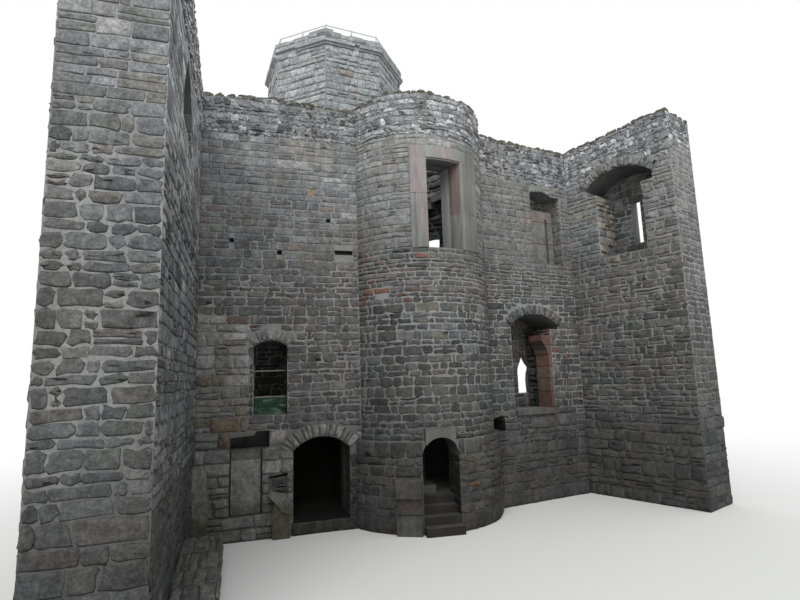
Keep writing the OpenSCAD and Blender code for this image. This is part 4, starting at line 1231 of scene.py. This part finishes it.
class WARD_OT_right_wall(Operator):
    """Stones of the right return wall with its arched embrasure"""

    bl_idname = "ward.right_wall"
    bl_label = "Right Return Wall"

    def execute(self, context):
        work = Stonework(context, 4)
        face = wall_face(*RIGHT_CORNER, RIGHT_WALL_TURN)
        left, right = RECESS.left + 0.35, RECESS.right - 0.35
        foot = (
            (RECESS.right, RECESS.sill), (right, RECESS.sill), (right, RECESS_LOW), (left, RECESS_LOW),
            (left, RECESS.sill), (RECESS.left, RECESS.sill),
        )
        lay = partial(work.lay, face, 0.0, RIGHT_LENGTH, holes=[arch_outline(RECESS, foot)])
        areas = [(0.0, 3.6, 2.5, 7.6, 0.16, OCHRES + PINKS), (0.0, 1.2, 7.6, 9.8, 0.2, PINKS + OCHRES)]
        lay([0, 1.4, 2.8], FOOTING, MIXED)
        lay([2.8, RECESS_LOW], BLOCKS._replace(course=0.2, length=0.36), MIXED, areas=areas)
        lay([RECESS_LOW, 9.7, 9.95, 10.3], THIN._replace(course=0.16), GREY, areas=areas)
        lay([10.3, 11.69], RUBBLE, ROUGH, top=under_line(RIGHT_WALL_TOP))
        ledges = COURSED._replace(length=0.27, proud=0.03, spread=1.0)
        buffs = [(0, 2, 7, 10, 0.7, ["#a29b8b", "#9f958d", "#978f88"])]
        sides = [RECESS_LOW, RECESS.sill]
        for side in reveals(face, left, right, RECESS_DEEP):
            work.lay(side, 0.0, RECESS_DEEP, sides, ledges, MIXED, areas=buffs)
        # The embrasure's inner face takes the dark tones: painted shade
        inner = wall_face(*RIGHT_CORNER, RIGHT_WALL_TURN, 0, RECESS_DEEP)
        work.lay(inner, left, right, sides, POINTED, SHADE_DARK, [RECESS_SLIT], fine=False)
        work.lay(
            inner, RECESS.left, RECESS.right, [RECESS.sill, 10.4], POINTED, SHADE_DARK,
            top=under_line(arch_curve(RECESS, -0.02)), fine=False,
        )
        end = wall_face(*RIGHT_CORNER, RIGHT_WALL_TURN, RIGHT_LENGTH, 0, 90)
        work.lay(end, 0.0, WALL_T, [0, 2.8], FOOTING, GREY)
        work.lay(end, 0.0, WALL_T, [2.8, 10.6], POINTED, GREY)
        work.lay(end, 0.0, WALL_T, [10.6, 11.62], RUBBLE, ROUGH)
        back = wall_face(*RIGHT_CORNER, RIGHT_WALL_TURN, RIGHT_LENGTH, WALL_T, 180)
        work.lay(
            back, 0.0, RIGHT_LENGTH + RIGHT_MITRE, [0, 11.69], REAR, GREY,
            [mirrored(RECESS_SLIT, RIGHT_LENGTH)], under_line(mirrored(RIGHT_WALL_TOP, RIGHT_LENGTH)),
            fine=False,
        )
        work.build("right_wall_stones")
        return {"FINISHED"}


class WARD_OT_rear(Operator):
    """Stones of the vaulted passage's outside and of the wall behind the left bay"""

    bl_idname = "ward.rear"
    bl_label = "Rear Walls"

    def execute(self, context):
        work = Stonework(context, 5)
        lay = partial(work.lay, fine=False)
        low, high = [0, FLOOR_Z], [FLOOR_Z, PASSAGE_H]
        # The passage's face behind the left window takes the dark tones: painted shade
        lay(wall_face(-WALL_T, PASSAGE_Y, 0), 0.0, PASSAGE_END + WALL_T, high, POINTED, SHADE_DARK)
        back_y, turret_x = PASSAGE_Y + PASSAGE_T, TURRET[0]
        for x, y, turn, length, levels in (
            (PASSAGE_END, PASSAGE_Y, 90, PASSAGE_FREE, high),
            (PASSAGE_KEEP, back_y, 180, PASSAGE_KEEP + WALL_T, high),
            (VAULT_KEEP, VAULT_BACK, 180, VAULT_KEEP + WALL_T, low),
            (turret_x, VAULT_BACK, 180, turret_x - VAULT_KEEP_RIGHT, low),
            (turret_x, TURRET_BACK, 90, VAULT_BACK - TURRET_BACK, low),
            (-WALL_T, VAULT_BACK, -90, VAULT_BACK - WALL_T, low),
            (-WALL_T, back_y, -90, PASSAGE_T, high),
        ):
            lay(wall_face(x, y, turn), 0.0, length, levels, REAR, GREY)
        work.build("rear_wall_stones")
        return {"FINISHED"}


def keep_side(i, radius):
    """One side of the keep as a face, with its width."""
    turns = [math.radians(KEEP_TURN + k * 360 / KEEP_SIDES) for k in (i, i + 1)]
    here, there = [(KEEP[0] + radius * math.cos(a), KEEP[1] + radius * math.sin(a)) for a in turns]
    turn = math.degrees(math.atan2(there[1] - here[1], there[0] - here[0]))
    return wall_face(*here, turn), math.dist(here, there)


class WARD_OT_keep(Operator):
    """Bossed stones of the keep and the coping stones of its parapet over the cornice"""

    bl_idname = "ward.keep"
    bl_label = "Keep"

    def execute(self, context):
        work = Stonework(context, 6)
        holes = {
            0: [box(-0.1, 1.72, -1.0, FLOOR_Z), box(-0.1, 0.38, -1.0, PASSAGE_H)],
            4: [box(0.6, 1.52, 6.4, 8.57)],
            7: [box(1.79, 2.3, -1.0, FLOOR_Z), box(1.84, 2.3, -1.0, PASSAGE_H)],
        }
        marks = {
            7: [(0.66, 14.5, "#a8adb1"), (0.9, 15.3, "#adb1b3"), (1.2, 12.9, "#6f6d6a")],
            0: [
                (0.6, 15.2, "#8c8580"), (1.0, 14.6, "#a3a09f"), (1.5, 15.0, "#999b98"),
                (0.7, 12.9, "#6f6d6a"),
            ],
        }
        low = KEEP_H + CORNICE_H
        coping = COURSED._replace(length=0.36, proud=0.01)
        for i in range(KEEP_SIDES):
            face, width = keep_side(i, KEEP_R)
            lay = partial(work.lay, face, 0.01, width - 0.01)
            lay([0, 6.4, 8.45, 11.4], BOSSED, KEEP_TONES, holes.get(i, ()), fine=False)
            lay([11.4, KEEP_H], BOSSED, KEEP_TONES, marks=marks.get(i, ()))
            rim, width = keep_side(i, KEEP_R + CORNICE_PROUD / 2)
            dark_ends = {7: [(width, low + 0.2, "#6f7477")], 0: [(0.0, low + 0.2, "#6f7477")]}
            levels = [low, low + PARAPET_H - 0.04]
            work.lay(rim, 0.0, width, levels, coping, KEEP_TONES, marks=dark_ends.get(i, ()))
        work.build("keep_stones", "keep")
        return {"FINISHED"}


def uneven(i, turn):
    """Share from 0 to 1 that seems to come at random along a row."""
    return np.abs(np.sin(np.radians(i * turn)))


class WARD_OT_arches(Operator):
    """Rough voussoirs over the doorways, the window and the embrasure"""

    bl_idname = "ward.arches"
    bl_label = "Arches"

    def execute(self, context):
        work = Stonework(context, 7)
        left = wall_face(0, 0, 0)
        self.ring(work, left, LEFT_DOOR, LIT)
        self.ring(work, left, LEFT_WINDOW, LIT)
        self.ring(work, wall_face(*RIGHT_CORNER, RIGHT_TURN), RIGHT_DOOR, GREY)
        self.ring(work, wall_face(*RIGHT_CORNER, RIGHT_WALL_TURN), RECESS, GREY)
        work.build("arch_stones")
        return {"FINISHED"}

    def ring(self, work, face, arch, tones):
        """Stones over the wedge faces of the arch, which stand proud by turns. The wedges run from
        right to left."""
        middle, height, radius, half = arch_place(arch)
        half += math.radians(0.5)
        i = np.arange(arch.count + 1)
        bend = 0.25 * np.sin(np.radians(i * 101.0))
        bend[[0, -1]] = 0.0
        mean = radius + arch.ring / 2
        joints = (half - 2 * half / arch.count * (i + bend)) * mean
        i = i[:-1]
        low = np.full(arch.count, radius - 0.005)
        high = radius + arch.ring - 0.012 - 0.02 * uneven(i, 71.0)
        left, right = joints[1:], joints[:-1]
        corners = quads((left, low), (right, low), (right, high), (left, high))
        rough = FOOTING._replace(gap=0.02, spread=0.1, corner=0.02, jitter=0.015, skew=0.08)
        laid = np.tile(np.array(rough), (arch.count, 1))
        laid[:, Kind._fields.index("proud")] = arch.proud * (0.4 + 0.6 * uneven(i, 137.0)) + 0.02
        colours = pick_colours(work.rng, corners.mean(axis=1), tones, (), ())
        work.blocks(ArchRing(face, middle, height, mean), corners, laid, colours)


class WARD_OT_wall_tops(Operator):
    """Loose capping stones and moss along the broken wall tops"""

    bl_idname = "ward.wall_tops"
    bl_label = "Wall Tops"

    def execute(self, context):
        work = Stonework(context, 8)
        passage = outline((0.0, PASSAGE_H), (PASSAGE_END + WALL_T - 0.3, PASSAGE_H))
        for face, line, depth in (
            (wall_face(0, 0, 0), np.vstack([LEFT_END, LEFT_TOP[1:]]), WALL_T),
            (Flat(CORNER, [0.0, -1.0, 0.0]), LEFT_WALL_TOP[1:], -WALL_T),
            (wall_face(*RIGHT_CORNER, RIGHT_TURN), RIGHT_TOP, WALL_T),
            (wall_face(*RIGHT_CORNER, RIGHT_WALL_TURN), RIGHT_WALL_TOP[1:], WALL_T),
            (wall_face(-WALL_T, PASSAGE_Y, 0), passage, PASSAGE_T),
        ):
            work.cap(face, line, depth, CAPPING, PALE)
        brim = Brim(TURRET, TURRET_R, turret_top)
        work.lay(brim, *arcs(TURRET_R, -180, 180), [0.0, TURRET_R - WELL_R], CAPPING, PALE)
        work.build("capping_stones", "capping")
        return {"FINISHED"}


class WARD_OT_window_mesh(Operator):
    """Mesh of straight wires in the foot of the left window"""

    bl_idname = "ward.window_mesh"
    bl_label = "Window Mesh"

    def execute(self, context):
        pitch = 0.034
        low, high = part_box("window_mesh")
        y = (low.y + high.y) / 2
        xs, zs = np.arange(low.x + pitch / 2, high.x, pitch), np.arange(low.z + pitch / 2, high.z, pitch)
        wires = [((x, y, low.z), (x, y, high.z)) for x in xs] + [((low.x, y, z), (high.x, y, z)) for z in zs]
        mesh = bpy.data.meshes.new("window_wires")
        mesh.from_pydata(*self.strands(np.array(wires), 0.005))
        mesh.materials.append(green_wire())
        piece = bpy.data.objects.new("window_wires", mesh)
        context.collection.objects.link(piece)
        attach(piece, "root")
        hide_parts("window_mesh")
        return {"FINISHED"}

    def strands(self, wires, radius, sides=6):
        """Points, edges and faces of straight rods with closed ends, each given by its two ends."""
        front = np.array([0.0, 1.0, 0.0])
        along = wires[:, 1] - wires[:, 0]
        across = np.cross(along / np.linalg.norm(along, axis=1, keepdims=True), front)
        here = np.arange(sides)
        turn = (here * 2 * math.pi / sides)[:, None]
        ring = radius * (across[:, None] * np.cos(turn) + front * np.sin(turn))
        points = (wires[:, :, None] + ring[:, None]).reshape(-1, 3)
        after = (here + 1) % sides
        skin = np.stack([here, after, sides + after, sides + here], 1)
        caps = np.stack([here[::-1], sides + here])
        firsts = range(0, len(points), 2 * sides)
        faces = [face for first in firsts for part in (skin, caps) for face in (first + part).tolist()]
        return points.tolist(), [], faces


class WARD_OT_finishes(Operator):
    """Finishes of the walls, dressed stones, steps and ironwork that the stones are laid on"""

    bl_idname = "ward.finishes"
    bl_label = "Finishes"

    def execute(self, context):
        ward = context.scene.ward
        lime = mortar(ward)
        steps = plain_stone("worn_step_tread_light", ("#605c57", "#504d49"), 300, 40, ward, 0.15, tread_light=2.8)
        grey = plain_stone("dressed_sandstone", ("#a3a19c", "#96958f"), 500, 30, ward, streak=0.15)
        iron = weathered_iron("weathered_iron", "#7c8081")
        kinds = {
            "keep_ashlar": plain_stone("keep_mortar", ("#85888a", "#929596"), 500, 40),
            "ward_rubble": lime, "dark_rubble": steps, "dressed_stone": grey,
            "red_sandstone": frame_stone(ward), "mossy_slab": mossy_slab(ward),
            "iron": iron, "green_mesh": iron,
        }
        own = {
            "cellar_vault": cellar_stone(),
            "keep_railing": weathered_iron("pale_rail", "#b9bdbf"),
            "passage_wall": lime,
            "keep_cornice": plain_stone("keep_cornice_stone", ("#a7a9aa", "#8f9192"), 300, 50),
            "right_door_jamb": jamb_blocks("red_jamb_blocks", ward, RED_JAMB),
            "right_window_frame": jamb_blocks("window_frame", ward, FRAME_BLOCKS),
            "right_threshold": plain_stone(
                "threshold_stone", ("#8d8a85", "#7e7b76"), 400, 30, ward, streak=0.1
            ),
            "turret_door_head": plain_stone("door_head", ("#a39e96", "#93938d"), 400, 30, ward),
            "turret_jamb_stones": jamb_blocks("jamb_stones", ward, TURRET_JAMB),
        }
        for part in frame["record"]["subparts"]:
            node = part["node"]
            mesh = frame["nodes"][node].data
            mesh.materials.clear()
            mesh.materials.append(own.get(node, kinds[part["material_slot"]]))
        return {"FINISHED"}


def plainly_seen(tree):
    """1 for what the camera sees, directly or by glass, and 0 for the rays that carry light."""
    rays = add(tree, "rays")
    by_glass = add(tree, "larger", rays["Is Glossy Ray"], rays["Is Transmission Ray"])
    return add(tree, "larger", rays["Is Camera Ray"], by_glass)


class WARD_OT_stage(Operator):
    """Plain pale floor, soft light and the camera where the photographer stood"""

    bl_idname = "ward.stage"
    bl_label = "Stage"

    def execute(self, context):
        ward = context.scene.ward
        self.floor(ward)
        self.sky(ward)
        self.lamp(ward)
        self.camera()
        context.scene.view_settings.view_transform = "Standard"
        return {"FINISHED"}

    def floor(self, ward):
        """Matt floor round the building that fades to plain white where it is seen far off."""
        size = 400.0
        mesh = bpy.data.meshes.new("studio_floor")
        mesh.from_pydata([(x, y, 0) for x, y in box(-size, size, -size, size)], [], [range(4)])
        made = Finish("studio_floor")
        away = made.add("distance", made.coords, (CORNER[0] + 4.0, CORNER[1] - 2.0, 0.0))
        seen = made.add("product", made.add("level", away, 9.0, 30.0), plainly_seen(made.tree))
        matt = made.add("diffuse", (*ward.floor_colour, 1.0))
        made.add("material", made.add("either", seen, matt, made.add("glow", 1.0)))
        mesh.materials.append(made.material)
        floor = bpy.data.objects.new("studio_floor", mesh)
        floor.location.z = -0.002
        bpy.context.collection.objects.link(floor)

    def sky(self, ward):
        """White where it is seen; for the light, a sky brighter overhead than at its rim."""
        world = bpy.data.worlds.new("studio_sky")
        bpy.context.scene.world = world
        world.use_nodes = True
        world.node_tree.nodes.clear()
        made = partial(add, world.node_tree)
        up = made("axes", made("direction"))[2]
        light = made("level", up, -0.1, 0.9, 0.45 * ward.sky_light, ward.sky_light)
        soft, white = made("sky", (0.97, 0.985, 1.0, 1.0), light), made("sky", (1.0, 1.0, 1.0, 1.0), 1.0)
        made("world", made("either", plainly_seen(world.node_tree), soft, white))

    def lamp(self, ward):
        """Broad lamp high behind the photographer, a little from the left, for soft shades under ledges."""
        sun = bpy.data.lights.new("soft_lamp", "SUN")
        sun.energy = ward.sun_light
        sun.angle = math.radians(50)
        lamp = bpy.data.objects.new("soft_lamp", sun)
        lamp.rotation_euler = [math.radians(turn) for turn in (48, -10, -14)]
        bpy.context.collection.objects.link(lamp)

    def camera(self):
        """The photographer's place by the left return wall, with a wide lens tilted up."""
        heading, pitch, roll = (math.radians(turn) for turn in (17, 8.5, -1.8))
        lens = bpy.data.cameras.new("camera")
        lens.lens = 23.4
        lens.sensor_width = 36.0
        camera = bpy.data.objects.new("camera", lens)
        right = Vector((math.cos(heading), -math.sin(heading), 0))
        level = Vector((math.sin(heading), math.cos(heading), 0))
        forward = level * math.cos(pitch) + Vector(UP) * math.sin(pitch)
        upward = right.cross(forward)
        tilted = right * math.cos(roll) + upward * math.sin(roll)
        top = upward * math.cos(roll) - right * math.sin(roll)
        rows = Matrix((tilted, top, -forward)).transposed().to_4x4()
        rows.translation = Vector(CORNER) + Vector((1.1232, -14.0985, 3.8717))
        camera.matrix_world = rows
        bpy.context.collection.objects.link(camera)
        bpy.context.scene.camera = camera


class WARD_PT_panel(Panel):
    """Lists the pieces of the ward and what can be changed about them"""

    bl_idname = "WARD_PT_panel"
    bl_label = "Castle Ward"
    bl_space_type = "VIEW_3D"
    bl_region_type = "UI"
    bl_category = "Ward"

    def draw(self, context):
        layout = self.layout
        for name in WardSettings.__annotations__:
            layout.prop(context.scene.ward, name)
        for operator in OPERATORS:
            layout.operator(operator.bl_idname)


OPERATORS = (
    WARD_OT_stage, WARD_OT_finishes, WARD_OT_left_bay, WARD_OT_left_wall, WARD_OT_turret,
    WARD_OT_right_bay, WARD_OT_right_wall, WARD_OT_rear, WARD_OT_keep, WARD_OT_arches,
    WARD_OT_wall_tops, WARD_OT_window_mesh,
)


def register():
    """Adds the classes and the settings to Blender."""
    for made in (WardSettings, *OPERATORS, WARD_PT_panel):
        bpy.utils.register_class(made)
    bpy.types.Scene.ward = PointerProperty(type=WardSettings)


def unregister():
    """Takes the settings and the classes out again."""
    del bpy.types.Scene.ward
    for made in reversed((WardSettings, *OPERATORS, WARD_PT_panel)):
        bpy.utils.unregister_class(made)


def main():
    """Makes every piece in order."""
    register()
    for operator in OPERATORS:
        group, name = operator.bl_idname.split(".")
        getattr(getattr(bpy.ops, group), name)()


if __name__ == "__main__":
    main()
